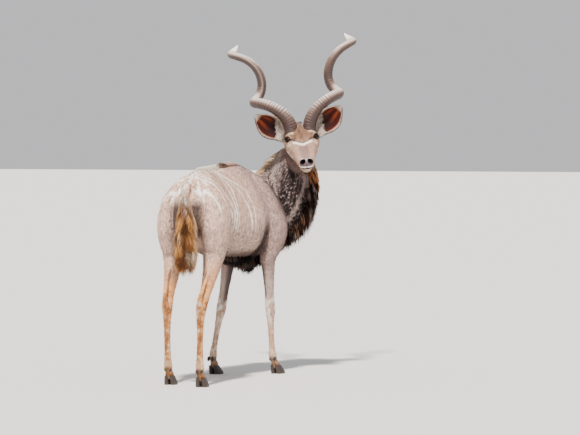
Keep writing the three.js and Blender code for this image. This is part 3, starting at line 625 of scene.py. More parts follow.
def stripe_mask(right, forward, up):
    mask = np.zeros(len(up))
    high, middle, low = STRIPE_LEVELS
    for top, flank, bottom, end in STRIPES:
        drop = ramp(high + 12, middle, up)
        line = top + (flank - top) * drop + (bottom - flank) * ramp(middle + 30, low, up)
        wave = 5 * np.sin(up / 37 + top)
        half = STRIPE_HALF * (0.8 + 0.35 * np.sin(up / 61 + bottom))
        across = near(forward, line + wave, half * 0.75, half * 0.45)
        fade = ramp(end - 60, end + 70, up) * (0.85 + 0.15 * np.sin(up / 19 + flank))
        mask = np.maximum(mask, across * fade)
    # the line that runs down from the tail's root over each buttock
    seat = near(np.abs(right), 60 + (1290 - up) * 0.34, 4, 6) * (forward < 90)
    return np.maximum(mask, seat * ramp(1120, 1180, up) * ramp(1300, 1270, up))


def head_colour(points):
    left, out, along = head_coordinates(points).T
    side = np.abs(left)
    on_top = ramp(-50, -10, out)
    speckle = ripple(points, 13, 21)
    fine = ripple(points, 7, 23)
    forehead = fall(150, 196, along + side * 0.35) * on_top
    brow = near(along + 0.3 * side, 112, 7, 8) * near(side, 76, 20, 12) * ramp(-46, -14, out)
    bridge = fall(18, 42, side) * ramp(210, 240, along) * on_top
    cheek = ramp(36, 60, side) * near(out, -104, 10, 12) * ramp(140, 190, along)
    behind_eye = near(out, -30, 18, 14) * ramp(66, 88, side) * fall(80, 104, along)
    line = 219 - 0.76 * np.hypot(side, 13)
    chevron = near(along, line, 7, 6) * fall(60, 72, side) * on_top
    above = near(along, line - 17, 4, 8) * fall(56, 70, side) * on_top
    colour = FACE * (1 + 0.12 * ripple(points, 30, 22))[:, None]
    colour = mix(colour, FOREHEAD * 0.8, ramp(0.1, 1.0, speckle + 0.6 * fine) * 0.6)
    colour = layers(
        colour * (1 + 0.22 * fine)[:, None],
        (FOREHEAD, forehead * 0.8),
        (DARK * 1.5, forehead * ramp(0.1, 0.8, speckle) * 0.6),
        (CREAM * 1.1, brow * 0.85),
        (BRIDGE, bridge * 0.85),
        (WHITE, cheek * fall(330, 350, along) * 0.6),
        (NECK_GREY, fall(-132, -116, out) * fall(180, 290, along) * 0.8),
        (CREAM, fall(-142, -124, out) * ramp(230, 290, along) * 0.7),
        (DARK * 1.3, behind_eye * 0.85),
        (FOREHEAD * 0.5, above * 0.7),
        (WHITE * 1.1, chevron * ramp(-2.2, -0.9, speckle)),
    )
    for spot_along, spot_out, size in CHEEK_SPOTS:
        gap = np.hypot(along - spot_along, out - spot_out)
        colour = mix(colour, WHITE, fall(size * 0.6, size * 1.3, gap) * 0.9)
    return muzzle_colour(eye_rings(colour, points), points)


def eye_rings(colour, points):
    """The lids' black edge, with a pale patch under each eye and a dark line at its corner."""
    for side in SIDES.values():
        ways, gap, opening = eye_opening(points, side)
        long, across, _ = eye_axes(side) @ ways.T
        close = fall(56, 64, gap)
        under = near(opening, 1.6, 0.16, 0.2) * ramp(0.1, 0.4, across * side)
        corner = near(across, 0.02, 0.05, 0.06) * ramp(0.3, 0.6, long) * fall(33, 38, gap)
        colour = layers(
            colour,
            (CREAM * 1.15, under * close * 0.9),
            (DARK, corner * 0.85),
            (NOSE * 0.5, fall(1.08, 1.24, opening) * close),
        )
    return colour


def muzzle_colour(colour, points):
    """The grey nose with a painted highlight above each nostril, its black nostrils (partly dark
    skin and partly painted shade in the openings), the two white upper lips, the mouth and the
    chin.
    """
    left, out, along = head_coordinates(points).T
    side = np.abs(left)
    rim = nostril_distance(points)
    lobe = near(out, -60 - 0.08 * side, 9, 4) * ramp(330, 346, along) * near(side, 26, 20, 8)
    philtrum = fall(1.5, 4, side) * ramp(362, 372, along) * (out < -40)
    mouth = near(out, mouth_out(along), 2.2, 2.5) * ramp(262, 285, along)
    front = near(out, -77 - 0.06 * side, 5, 3) * ramp(346, 356, along)
    return layers(
        colour,
        (CREAM, ramp(300, 340, along) * fall(-88, -80, out) * 0.4),
        (NOSE_PAD, ramp(346, 358, along) * ramp(-52, -44, out) * fall(40, 50, side)),
        # a painted highlight in an arc above each nostril
        (WHITE, near(rim, 1.45, 0.06, 0.14) * ramp(-16, -6, out) * 0.5),
        (WHITE * 1.1, lobe),
        (NOSE, philtrum * near(out, -56, 14, 6) * 0.8),
        # the nostrils' openings: their dark skin, darkened further as painted shade
        (NOSE * 0.15, fall(1.08, 1.26, rim)),
        (NOSE, np.maximum(mouth, front * fall(26, 40, side)) * 0.95),
    )


def body_colour(points, normals):
    right, forward, up = off_trunk(points).T
    aside = np.abs(right)
    # This mask paints shade into the fold behind the elbow, between the foreleg and the flank.
    elbow_shade = near(forward, 1005 + (up - 800) * 0.12, 26, 44) * fall(920, 1060, up)
    # These two masks paint shade under the tail and between the haunches; the second one is
    # brownish.
    thigh_shade = fall(60, 130, forward) * fall(70, 120, aside)
    seat = fall(40, 170, forward) * fall(80, 160, aside)
    crest = fall(10, 26, aside) * ramp(1180, 1260, up) * ramp(640, 740, forward)
    rump_line = fall(5, 14, aside) * ramp(1150, 1250, up) * fall(420, 640, forward)
    colour = layers(
        FLANK,
        (RUMP, fall(150, 460, forward)),
        (LOIN, near(forward, 560, 260, 160) * ramp(960, 1120, up) * 0.35),
        (SHOULDER_GREY, ramp(860, 1040, forward) * 0.85),
        # BACK_PALE where the hide faces up: partly the pale coat along the spine, and partly a
        # painted highlight on the top of the back and rump
        (BACK_PALE, ramp(0.75, 0.95, normals[:, 2]) * (forward < 760) * 0.8),
        # painted shade under the belly
        (BELLY_SHADE_AND_HAIR, fall(770, 900, up) * near(aside, 0, 110, 60)),
        (DARK * 1.6, elbow_shade * 0.85),
        (CREST_BROWN * 1.3, seat * fall(1090, 1200, up) * 0.5),
        (DARK * 2.5, thigh_shade * fall(1110, 1190, up) * 0.85),
        (CREST_BROWN, crest * 0.8),
        (WHITE, rump_line * 0.85),
    )
    broad, fine = ripple(points, 40, 31), ripple(points * np.array([1, 1, 0.4]), 12, 32)
    colour = colour * (1 + 0.07 * broad + 0.2 * fine)[:, None]
    return mix(colour, WHITE * 1.3, stripe_mask(right, forward, up) * ramp(6, 22, aside))


def neck_colour(points):
    share, angle = neck_place(points)
    top = np.sin(angle)
    fine = streaks(share * 0.4, angle, 8, 5)
    broad = streaks(share * 0.6, angle, 24, 6)
    mottled = 0.3 * ripple(points, 30, 8) + 0.8 * ripple(points * np.array([1, 1, 0.5]), 7, 9)
    lower = ramp(0.45, -0.05, top) * fall(0.5, 0.85, share)
    jaw_edge = ramp(0.45, 0.7, share) * near(top, -0.15, 0.22, 0.25)
    # base marks the fold where the neck meets the shoulder, and it is darkened there as painted
    # shade
    base = near((points - NECK_BASE) @ NECK_WAY, 22, 12, 22) * ramp(0.97, 0.7, top)
    band = near(top, -0.72, 0.1, 0.12) * near(share, 0.45, 0.2, 0.15)
    throat = fall(-0.98, -0.85, top)
    return layers(
        NECK_PALE,
        (NECK_GREY, ramp(0.75, -0.1, top)),
        (DARK, ramp(0.2, 0.6, fine + 0.5 * broad) * 0.85),
        (NECK_PALE * 1.4, ramp(0.3, 0.8, -fine) * 0.6),
        (DARK * 0.9, lower * ramp(-0.7, 0.0, mottled) * 0.92),
        (NECK_PALE * 1.1, lower * ramp(0.5, 0.9, -mottled) * 0.6),
        (DARK, jaw_edge * ramp(-0.9, 0.0, fine) * 0.85),
        (DARK, base * 0.85),
        (NECK_PALE, band * ramp(-0.4, 0.5, broad) * 0.7),
        (CREAM * 1.1, ramp(0.93, 0.99, top) * 0.6),
        (BEARD_TAN, throat * ramp(0.5, 0.7, share) * 0.6),
        (WHITE, throat * ramp(0.78, 0.88, share) * 0.8),
    )


def hind_leg_colour(points, normals, side):
    up = points[:, 2]
    inner = ramp(0.2, 0.8, side * normals[:, 0])  # 1 where the hide faces the other leg
    patch = ripple(points, 50, 14) + 0.7 * ripple(points, 16, 13)
    return layers(
        RUMP,
        (LEG_GOLD, fall(560, 880, up)),
        (CREAM, near(up, 430, 40, 80) * near(normals[:, 1], -0.6, 0.3, 0.4) * 0.5),
        # painted shade on the upper hind leg where it faces the other leg
        (DARK * 2.5, inner * ramp(560, 760, up) * 0.8),
        (TAIL_BROWN, near(normals[:, 1], 1, 0.1, 0.35) * fall(500, 600, up) * 0.6),
        (TAIL_BROWN, ramp(0.3, 1.0, patch) * ramp(700, 560, up) * 0.7),
        (CREAM, ramp(0.5, 1.1, -patch) * ramp(640, 500, up) * 0.6),
        *foot_coats(up),
    )


def fore_leg_colour(points, normals, side):
    up = points[:, 2]
    inner = ramp(0.1, 0.8, side * normals[:, 0])
    patch = ramp(-0.2, 0.6, ripple(points, 60, 15))
    return layers(
        SHOULDER_GREY,
        (FORE_GREY, fall(560, 760, up)),
        (LEG_GOLD, fall(300, 560, up) * 0.35),
        (DARK * 2, inner * near(up, 600, 90, 90) * 0.8),
        (TAIL_BROWN, ramp(0.4, 1.1, ripple(points, 16, 16)) * ramp(640, 480, up) * 0.6),
        (WHITE, near(up, 420, 50, 60) * patch * 0.6),
        (WHITE, near(up, 230, 50, 60) * patch * 0.5),
        *foot_coats(up),
    )


def foot_coats(up):
    """A pale ring round the pastern, a dark one under it, and the brown edge over the hoof."""
    return [
        (CREAM, near(up, 140, 12, 22) * 0.35),
        (DARK * 2, near(up, 98, 8, 20) * 0.5),
        (FOREHEAD * 0.8, fall(64, 88, up) * 0.8),
    ]


def place_on(rings, points):
    """The ring nearest to each point, and where the point is from that ring's centre."""
    row = np.linalg.norm(points[:, None, :] - rings.centre[None], axis=2).argmin(axis=1)
    apart = points - rings.centre[row]
    x, y, z = ((apart * way[row]).sum(axis=1) for way in (rings.side, rings.up, rings.along))
    side, top, bottom = rings.sizes[row, :3].T
    reach = np.where(y > 0, top, bottom)
    return row, x / side, y / reach, z, np.minimum(side, reach)


def part_of(points):
    """For each point, the nearest part's number, the share along it and the angle round it."""
    best = np.full(len(points), np.inf)
    label = np.zeros(len(points), int)
    shares, angles = np.zeros((2, len(points)))
    for number, rings in enumerate(PARTS.values()):
        row, x, y, z, size = place_on(rings, points)
        gap = np.abs(np.hypot(x, y) - 1) * size + np.maximum(np.abs(z) - 25, 0)
        closer = gap < best
        best[closer] = gap[closer]
        label[closer] = number
        last = len(rings.centre) - 1
        step = np.linalg.norm(rings.centre[-1] - rings.centre[0]) / last
        shares[closer] = np.clip((row[closer] + z[closer] / step) / last, 0, 1)
        angles[closer] = np.arctan2(y, x)[closer]
    return label, shares, angles


NAMES = list(PARTS)
NECK_BASE = place(150, 1270, 1120)
NECK_WAY = towards(0.5, 0.72, 0.48)


def neck_place(points):
    row, x, y, _, _ = place_on(PARTS["neck"], points)
    return row / (len(PARTS["neck"].centre) - 1), np.arctan2(y, x)


def nostril_axes(side):
    look = unit(np.array([side * 0.5, 0.35, 0.8]))
    slant = np.array([side * 0.75, -0.5, 0.0])
    long = unit(slant - look * (slant @ look))
    return np.array([long, np.cross(look, long), look])


NOSTRIL = (26, -20, 374)  # aside, out and along
NOSTRIL_HALF = (18, 14)
EYE_OPENING = (19, 16.5)  # half length and half height


def eye_axes(side):
    """Along the almond towards the nose, across it, and the way the eye looks."""
    look = unit(np.array([side * 0.58, 0.64, 0.5]) @ HEAD_AXES)
    tear = np.array([-side * 0.7, 0.28, 0.62]) @ HEAD_AXES
    long = unit(tear - look * (tear @ look))
    return np.array([long, np.cross(look, long), look])


def eye_opening(points, side):
    """The way out from the eye's middle to each point, its distance, and 1 at the lids' edge."""
    apart = points - in_head(side * EYE_LEFT, EYE_OUT, EYE_ALONG)
    distance = np.linalg.norm(apart, axis=1)
    ways = apart / np.maximum(distance, 1e-6)[:, None]
    long, across, look = eye_axes(side) @ ways.T
    long = long * EYE_RADIUS / EYE_OPENING[0]
    across = across * EYE_RADIUS / EYE_OPENING[1]
    opening = np.hypot(long, across * (1 + 0.35 * long**2))
    return ways, distance, np.where(look > 0, opening, 9)


def nostril_distance(points):
    """1 at the rim of the nearer nostril, less inside it."""
    local = head_coordinates(points)
    best = np.full(len(points), 99.0)
    for side in SIDES.values():
        apart = local - np.array([side * NOSTRIL[0], *NOSTRIL[1:]])
        long, across, deep = (apart @ nostril_axes(side).T).T
        flat = np.hypot(long / NOSTRIL_HALF[0], across / NOSTRIL_HALF[1])
        best = np.minimum(best, flat + np.maximum(np.abs(deep) - 16, 0) / 4)
    return best


def mouth_out(along):
    return -76 + 0.05 * (along - 340)


def skin_weights(points):
    """How far each point belongs to the head, and how far to the neck, rather than the trunk."""
    local = head_coordinates(points)
    across = np.linalg.norm(local[:, :2] + np.array([0, 80]), axis=1)
    head = ramp(-10, 70, local[:, 2]) * fall(150, 190, across) * (local[:, 2] < 430)
    neck = ramp(-70, 60, (points - NECK_BASE) @ NECK_WAY) * (points[:, 2] < 1700)
    return head, neck


def coat_colour(points, normals):
    label = part_of(points)[0]
    colour = body_colour(points, normals)
    up = points[:, 2]
    for name, (side, _, _) in FEET.items():
        ours = np.isin(label, [i for i, part in enumerate(NAMES) if part.endswith(name)])
        if name.startswith("hind"):
            own = hind_leg_colour(points, normals, side)
            share = fall(760, 930, up)
        else:
            own = fore_leg_colour(points, normals, side)
            share = fall(720, 860, up)
        colour = mix(colour, own, share * ours)
    tail = label == NAMES.index("tail")
    colour = mix(colour, TAIL_GOLD, tail * ramp(1240, 1190, up))
    head, neck = skin_weights(points)
    colour = mix(colour, neck_colour(points), neck * (1 - head))
    return mix(colour, head_colour(points), head)


# Skin

def voxel_skin():
    """Every loft of flesh joined, made one surface and rounded off."""
    points, faces = [], []
    for name, rings in PARTS.items():
        sides = 24 if name.startswith(("leg", "tendon", "tail")) else 48
        grow = -COAT_DEPTH if name in ("torso", "neck") or "shoulder" in name else -3
        new_points, new_faces = rings.mesh(sides, grow)
        start = sum(len(p) for p in points)
        points.append(new_points)
        faces += [tuple(start + i for i in face) for face in new_faces]
    raw = mesh_object("raw", np.vstack(points), faces)
    bpy.context.view_layer.objects.active = raw
    remesh = raw.modifiers.new("whole", "REMESH")
    remesh.mode = "VOXEL"
    remesh.voxel_size = SKIN_VOXEL * MM
    graph = bpy.context.evaluated_depsgraph_get()
    mesh = bpy.data.meshes.new_from_object(raw.evaluated_get(graph))
    bpy.data.objects.remove(raw)
    set_vertices(mesh, smoothed(mesh, 14))
    return link_object("skin", mesh)


def refine_face(skin):
    """Finer faces on the front of the head, where the lids, nostrils and lips are."""
    data = bmesh.new()
    data.from_mesh(skin.data)
    points = vertices_of(skin.data)
    left, out, along = head_coordinates(points).T
    front = (along > 66) & (along < 420) & (np.abs(left) < 130) & (out > -190) & (out < 60)
    data.verts.ensure_lookup_table()
    edges = [e for e in data.edges if front[e.verts[0].index] and front[e.verts[1].index]]
    bmesh.ops.subdivide_edges(data, edges=edges, cuts=1, use_grid_fill=True, smooth=0.0)
    data.to_mesh(skin.data)
    data.free()
    mesh = skin.data
    points = vertices_of(mesh)
    left, out, along = head_coordinates(points).T
    share = ramp(76, 96, along) * (np.abs(left) < 130) * (out > -190)
    set_vertices(mesh, points + (smoothed(mesh, 3) - points) * share[:, None])


def sculpt_face(skin):
    """Brow, lids, nostrils and mouth, pushed in and out of the skin."""
    mesh = skin.data
    points = vertices_of(mesh)
    normals = normals_of(mesh)
    left, out, along = head_coordinates(points).T
    side = np.abs(left)
    on_head = (along > 0) & (along < 430) & (side < 140) & (out > -200) & (out < 80)
    brow = bell((along - 96, 24), (side - 70, 24)) * (out > -40)
    cheek = bell((along - 190, 60), (out + 84, 16))
    hollow = bell((along - 235, 50), (out + 52, 18)) * (side > 20)
    lift = 6 * brow + 4 * cheek - 4 * hollow
    mouth = np.abs(out - mouth_out(along))
    lift -= 6 * bell((mouth, 3.2)) * ramp(258, 290, along)
    lips = bell((mouth - 8, 4)) * ramp(275, 330, along)
    lift += 2.5 * lips
    gap = nostril_distance(points)
    lift -= 17 * fall(0.6, 1.0, gap)
    lift += 2.5 * bell((gap - 1.3, 0.25))
    philtrum = bell((left, 2.6)) * ramp(366, 380, along) * (out < -30)
    lift -= 2.5 * philtrum
    points = points + normals * (lift * on_head)[:, None]
    for way in SIDES.values():
        ball = in_head(way * EYE_LEFT, EYE_OUT, EYE_ALONG)
        ways, distance, opening = eye_opening(points, way)
        inside = fall(0.88, 1.0, opening)
        rim = EYE_RADIUS + 2.4 + 2.0 * bell((opening - 1.1, 0.16))
        target = np.maximum(distance, rim) * (1 - inside) + 15 * inside
        points = np.where((distance < 60)[:, None], ball + ways * target[:, None], points)
    set_vertices(mesh, points)


# Materials

def set_inputs(node, **values):
    for name, value in values.items():
        node.inputs[name.replace("_", " ")].default_value = value


def material(name, roughness, grain=None, **sockets):
    """A surface coloured by the coat attribute. Its grain is fine noise in height and colour:
    how many waves there are to the metre, how high they are, and how far they change the colour."""
    made = bpy.data.materials.new(name)
    made.use_nodes = True
    nodes, links = made.node_tree.nodes, made.node_tree.links
    shader = nodes["Principled BSDF"]
    set_inputs(shader, Roughness=roughness, **sockets)
    colour = nodes.new("ShaderNodeAttribute")
    colour.attribute_name = "coat"
    source = colour.outputs["Color"]
    if grain:
        scale, depth, variation = grain
        where = nodes.new("ShaderNodeTexCoord")
        noise = nodes.new("ShaderNodeTexNoise")
        set_inputs(noise, Scale=scale, Detail=4)
        links.new(where.outputs["Object"], noise.inputs["Vector"])
        spread = nodes.new("ShaderNodeMapRange")
        set_inputs(spread, From_Min=0.3, From_Max=0.7, To_Min=1 - variation, To_Max=1 + variation)
        links.new(noise.outputs["Fac"], spread.inputs["Value"])
        scaled = nodes.new("ShaderNodeVectorMath")
        scaled.operation = "SCALE"
        links.new(source, scaled.inputs[0])
        links.new(spread.outputs["Result"], scaled.inputs["Scale"])
        source = scaled.outputs["Vector"]
        bump = nodes.new("ShaderNodeBump")
        set_inputs(bump, Strength=0.6, Distance=depth)
        links.new(noise.outputs["Fac"], bump.inputs["Height"])
        links.new(bump.outputs["Normal"], shader.inputs["Normal"])
    links.new(source, shader.inputs["Base Color"])
    return made


SKIN = material("hide", 0.8, (260, 0.003, 0.18), Specular_IOR_Level=0.15)
HAIR = material("hair", 0.7, Specular_IOR_Level=0.15)
HORN = material("horn", 0.55, (420, 0.0008, 0.2))
HOOF = material("hoof", 0.5, (180, 0.001, 0.15))
EYE = material("eye", 0.06, Specular_IOR_Level=0.22)


# Hair. Every tuft and lock is a closed, three-sided, tapering blade.

PATCH = 0.003  # size of one blade's patch on the map
# tufts for each square centimetre of the body, and how many more the other parts have
BODY_TUFTS, NECK_TUFTS, HEAD_TUFTS, LEG_TUFTS = 1.7, 1.9, 4.2, 0.5
# lengths of the short hair
BODY_HAIR, NECK_HAIR, HEAD_HAIR, FOREHEAD_HAIR, TAIL_HAIR = 16, 19, 7.5, 13.5, 18
LEG_SPLIT, TRUNK_SPLITS = 700, (330, 760)  # how far forward the coat's pieces part


def blades(name, steps, hair):
    """One piece of hair from its blades' roots, ways, sizes, colours and places on the map.
    Each blade bends from its start's way to its end's, and its root is sunk a little."""
    count = len(hair["root"])
    rows = np.linspace(0, 1, steps + 1)
    rows[0] = -0.12
    profile = np.where(rows < 0.3, 0.85 + rows * 0.5, 1.0) * (1 - np.clip(rows, 0, 1) ** 2.2)
    points = np.empty((count, steps * 3 + 1, 3))
    shade = np.empty((count, steps * 3 + 1, 3))
    spread = np.empty((steps * 3 + 1, 2))
    length = hair["length"][:, None]
    thick = np.reshape(hair["thick"], (-1, 1))
    for i, share in enumerate(rows):
        bend = max(share, 0)
        spine = (
            hair["root"]
            + hair["start"] * length * (share - bend * bend / 2)
            + hair["end"] * length * bend * bend / 2
            + hair["wave"] * length * 0.12 * math.sin(share * 7)
        )
        way = unit(hair["start"] * (1 - bend) + hair["end"] * bend)
        across = unit(np.cross(way, hair["out"]))
        above = np.cross(across, way)
        tint = hair["base"] * (1 - bend) + hair["tip"] * bend
        if i == steps:
            points[:, -1] = spine
            shade[:, -1] = tint
            spread[-1] = (0, 1)
            continue
        half = hair["width"][:, None] / 2 * profile[i]
        points[:, i * 3] = spine - across * half
        points[:, i * 3 + 1] = spine + across * half
        points[:, i * 3 + 2] = spine + above * thick * profile[i]
        shade[:, i * 3:i * 3 + 3] = tint[:, None, :]
        spread[i * 3:i * 3 + 3] = [(-0.5, share), (0.5, share), (0, share)]
    faces = [(0, 2, 1)]
    for i in range(steps - 1):
        a, b = i * 3, i * 3 + 3
        for k in range(3):
            n = (k + 1) % 3
            faces += [(a + k, a + n, b + k), (a + n, b + n, b + k)]
    last = (steps - 1) * 3
    faces += [(last + k, last + (k + 1) % 3, steps * 3) for k in range(3)]
    faces = np.array(faces)
    all_faces = (faces[None] + np.arange(count)[:, None, None] * (steps * 3 + 1)).reshape(-1, 3)
    made = mesh_object(name, points.reshape(-1, 3), all_faces)
    paint(made, shade.reshape(-1, 3))
    uv = hair["map"][:, None, :] + spread[None] * PATCH
    layer = made.data.uv_layers.new(name="OFBake")
    corner = uv.reshape(-1, 2)[all_faces.ravel()]
    layer.data.foreach_set("uv", corner.astype(np.float32).ravel())
    finish_piece(made, HAIR)


def map_place(label, shares, angles):
    """Places on the skin's unwrap, a strip for each part: round it one way, along it the other."""
    u = 0.02 + 0.96 * (0.5 + angles / (2 * math.pi))
    v = (label + 0.06 + 0.86 * shares) / len(NAMES)
    return np.stack([u, v], axis=1)


def sample_skin(mesh, density, seed):
    """Random places on the skin, about density for each square centimetre there."""
    random = np.random.default_rng(seed)
    mesh.calc_loop_triangles()
    corners = np.empty(len(mesh.loop_triangles) * 3, np.int32)
    mesh.loop_triangles.foreach_get("vertices", corners)
    corners = corners.reshape(-1, 3)
    points, normals = vertices_of(mesh), normals_of(mesh)
    a, b, c = (points[corners[:, k]] for k in range(3))
    area = np.linalg.norm(np.cross(b - a, c - a), axis=1) / 2
    wanted = area / 100 * density[corners].mean(axis=1)
    many = random.poisson(wanted)
    chosen = np.repeat(np.arange(len(corners)), many)
    u, v = random.random((2, len(chosen)))
    flip = u + v > 1
    u[flip], v[flip] = 1 - u[flip], 1 - v[flip]
    weights = np.stack([1 - u - v, u, v], axis=1)[:, :, None]
    spots = (points[corners[chosen]] * weights).sum(axis=1)
    outs = unit((normals[corners[chosen]] * weights).sum(axis=1))
    return spots, outs


def lie_of_coat(points, outs, label, shares):
    """The way the hair points, along the skin."""
    flow = np.empty_like(points)
    for number, (name, rings) in enumerate(PARTS.items()):
        ours = label == number
        if not ours.any():
            continue
        row = np.rint(shares[ours] * (len(rings.centre) - 1)).astype(int)
        along = rings.along[row]
        if name in ("torso", "neck"):
            flow[ours] = -along + np.array([0, 0, -0.7])
        elif name in ("head", "jaw"):
            flow[ours] = -along
        elif name.startswith("shoulder"):
            flow[ours] = along + trunk_towards(0, -1, 0, FORE_STATION) * 0.6
        else:
            flow[ours] = along
    flow -= outs * (flow * outs).sum(axis=1, keepdims=True)
    return unit(flow)


def coat_length(points, label):
    """Length of the short coat, by where it grows."""
    head, neck = skin_weights(points)
    _, out, along = head_coordinates(points).T
    length = BODY_HAIR + (NECK_HAIR - BODY_HAIR) * neck
    length = length * (1 - head) + HEAD_HAIR * head
    forehead = head * fall(90, 160, along) * ramp(-50, -20, out)
    length += (FOREHEAD_HAIR - HEAD_HAIR) * forehead
    length = length * (1 - 0.5 * head * ramp(220, 330, along))
    legs = fall(560, 760, points[:, 2])
    return np.where(label == NAMES.index("tail"), TAIL_HAIR, length * (1 - 0.4 * legs))


def bare(points):
    """Where no hair grows: the nose pad, the mouth, the eyes, and under the hooves' edge."""
    _, out, along = head_coordinates(points).T
    pad = ramp(352, 366, along) * ramp(-72, -60, out)
    mouth = near(out, mouth_out(along), 4, 2) * ramp(256, 270, along)
    eye = np.zeros(len(points))
    for way in SIDES.values():
        gap = np.linalg.norm(points - in_head(way * EYE_LEFT, EYE_OUT, EYE_ALONG), axis=1)
        eye = np.maximum(eye, fall(27, 31, gap))
    foot = fall(HOOF_HEIGHT + 2, HOOF_HEIGHT + 8, points[:, 2])
    face = (pad + mouth + (nostril_distance(points) < 1.6)) * skin_weights(points)[0]
    return np.clip(face + eye + foot, 0, 1)


def short_coat(mesh):
    points = vertices_of(mesh)
    head, neck = skin_weights(points)
    density = BODY_TUFTS + NECK_TUFTS * neck + HEAD_TUFTS * head
    density += LEG_TUFTS * fall(560, 760, points[:, 2])
    density *= 1 - bare(points)
    roots, outs = sample_skin(mesh, density, 11)
    random = np.random.default_rng(12)
    label, shares, angles = part_of(roots)
    flow = lie_of_coat(roots, outs, label, shares)
    count = len(roots)
    across = np.cross(outs, flow)
    flow = unit(flow + across * random.normal(0, 0.16, (count, 1)))
    length = coat_length(roots, label) * random.uniform(0.75, 1.25, count)
    base = coat_colour(roots, outs) * random.uniform(0.7, 1.22, (count, 1))
    hair = dict(
        root=roots,
        out=outs,
        start=unit(flow + outs * random.uniform(0.35, 0.6, (count, 1))),
        end=unit(flow + outs * random.uniform(-0.05, 0.12, (count, 1))),
        wave=across * random.uniform(-0.3, 0.3, (count, 1)),
        length=length,
        width=length * random.uniform(0.17, 0.27, count),
        thick=length * 0.06,
        base=base * 0.85,
        tip=np.clip(base * 1.15, 0, 1),
        map=map_place(label, shares, angles),
    )
    on_head = (head_coordinates(roots)[:, 2] > 20) & (skin_weights(roots)[0] > 0.5)
    leg = np.array([name.startswith(("leg", "tendon")) for name in NAMES])
    on_leg = ~on_head & leg[label]
    forward = off_trunk(roots)[:, 1]
    groups = {
        "coat_head": (on_head, "face_coat"),
        "coat_neck": (~on_head & (label == NAMES.index("neck")), "neck_coat"),
        "coat_legs_hind": (on_leg & (forward < LEG_SPLIT), "leg_coat"),
        "coat_legs_fore": (on_leg & (forward >= LEG_SPLIT), "leg_coat"),
    }
    rest = ~np.any([chosen for chosen, _ in groups.values()], axis=0)
    stretch = np.digitize(forward, TRUNK_SPLITS)
    for i in range(len(TRUNK_SPLITS) + 1):
        groups[f"coat_trunk_{i + 1}"] = (rest & (stretch == i), "body_coat")
    for name, (chosen, slot) in groups.items():
        blades(name, 2, {key: value[chosen] for key, value in hair.items()})


# share along the part, height of the hair and half width of the ridge it grows on
RIDGES = {
    "crest": ("torso", 1, [
        (0.2, 6, 12), (0.3, 8, 14), (0.38, 12, 15), (0.46, 20, 17), (0.53, 27, 18),
        (0.61, 24, 17), (0.69, 16, 15), (0.77, 12, 15), (0.85, 12, 15)]),
    "mane": ("neck", 1, [
        (0.16, 14, 16), (0.3, 34, 18), (0.45, 56, 20), (0.6, 66, 20), (0.72, 62, 19),
        (0.84, 48, 17), (0.95, 24, 13)]),
    "beard": ("neck", -1, [
        (0.02, 28, 18), (0.16, 62, 28), (0.3, 100, 36), (0.45, 116, 38), (0.6, 98, 35),
        (0.72, 72, 30), (0.84, 50, 24), (0.94, 34, 20)]),
    "chin": ("jaw", -1, [
        (0.1, 44, 22), (0.35, 40, 20), (0.6, 32, 16), (0.8, 18, 12), (0.92, 6, 8)]),
    "brisket": ("torso", -1, [
        (0.42, 14, 20), (0.52, 44, 30), (0.62, 86, 34), (0.72, 112, 36), (0.8, 98, 34),
        (0.9, 54, 30)]),
}
# how many locks, first and last share, spread round the part, how far they lie back and hang down,
# and their width
LOCKS = {
    "crest": (3400, (0.3, 0.92), 0.08, 2.2, 0.0, 4),
    "mane": (4000, (0.12, 0.99), 0.26, 0.55, 0.0, 6),
    "beard": (6400, (0.0, 0.99), 0.42, 0.7, 1.1, 8),
    "chin": (1500, (0.05, 0.95), 0.5, 0.9, 0.5, 6),
    "brisket": (2300, (0.44, 0.9), 0.28, 0.5, 0.7, 8),
}
LOCK_THICK = 1.6
LONGEST_LOCK = 190
TAIL_CLUMPS, CLUMP_LOCKS = 100, 62


def lock_colours(name, shares, angles, random):
    count = len(shares)
    pick = ripple(columns(shares * 900, angles * 200, 0), 60, 3)
    pick = pick + random.normal(0, 0.25, count)
    if name == "crest":
        return layers(
            FLANK,
            (CREST_BROWN, near(shares, 0.53, 0.04, 0.03) * 0.25),
            (SHOULDER_GREY, ramp(0.64, 0.74, shares) * 0.8),
            (BACK_PALE * 1.2, fall(0.44, 0.5, shares + pick * 0.02)),
        )
    if name == "mane":
        colour = mix(CREAM, BEARD_TAN, ramp(0.0, 0.6, pick) * 0.7)
        return mix(colour, DARK * 2, ramp(0.8, 1.2, -pick) * 0.8)
    if name == "beard":
        return layers(
            DARK * 0.8,
            (NECK_PALE, ramp(0.55, 0.95, pick) * 0.7),
            (BEARD_TAN, ramp(-0.4, 0.2, pick) * near(shares, 0.78, 0.05, 0.06)),
            (CREAM, ramp(-0.6, 0.2, pick) * ramp(0.8, 0.88, shares) * 0.9),
            (WHITE, ramp(0.86, 0.96, shares) * 0.8),
        )
    if name == "chin":
        return mix(CREAM, BEARD_TAN, ramp(0.0, 0.6, pick) * 0.6)
    return mix(DARK, BELLY_SHADE_AND_HAIR, ramp(0.0, 0.8, pick))


def tip_colours(name, colour, shares, random):
    """Some ends are brown on the crest and tan on the throat, and other hair only pales."""
    tips = np.clip(colour * 1.15, 0, 1)
    if name == "crest":
        some = random.random(len(shares)) < 0.85
        return mix(tips, CREST_BROWN * 0.55, near(shares, 0.525, 0.045, 0.025) * some)
    if name == "beard":
        some = ramp(0.7, 0.9, random.random(len(shares)))
        return mix(tips, BEARD_TAN * 0.8, near(shares, 0.36, 0.14, 0.2) * some * 0.8)
    return tips


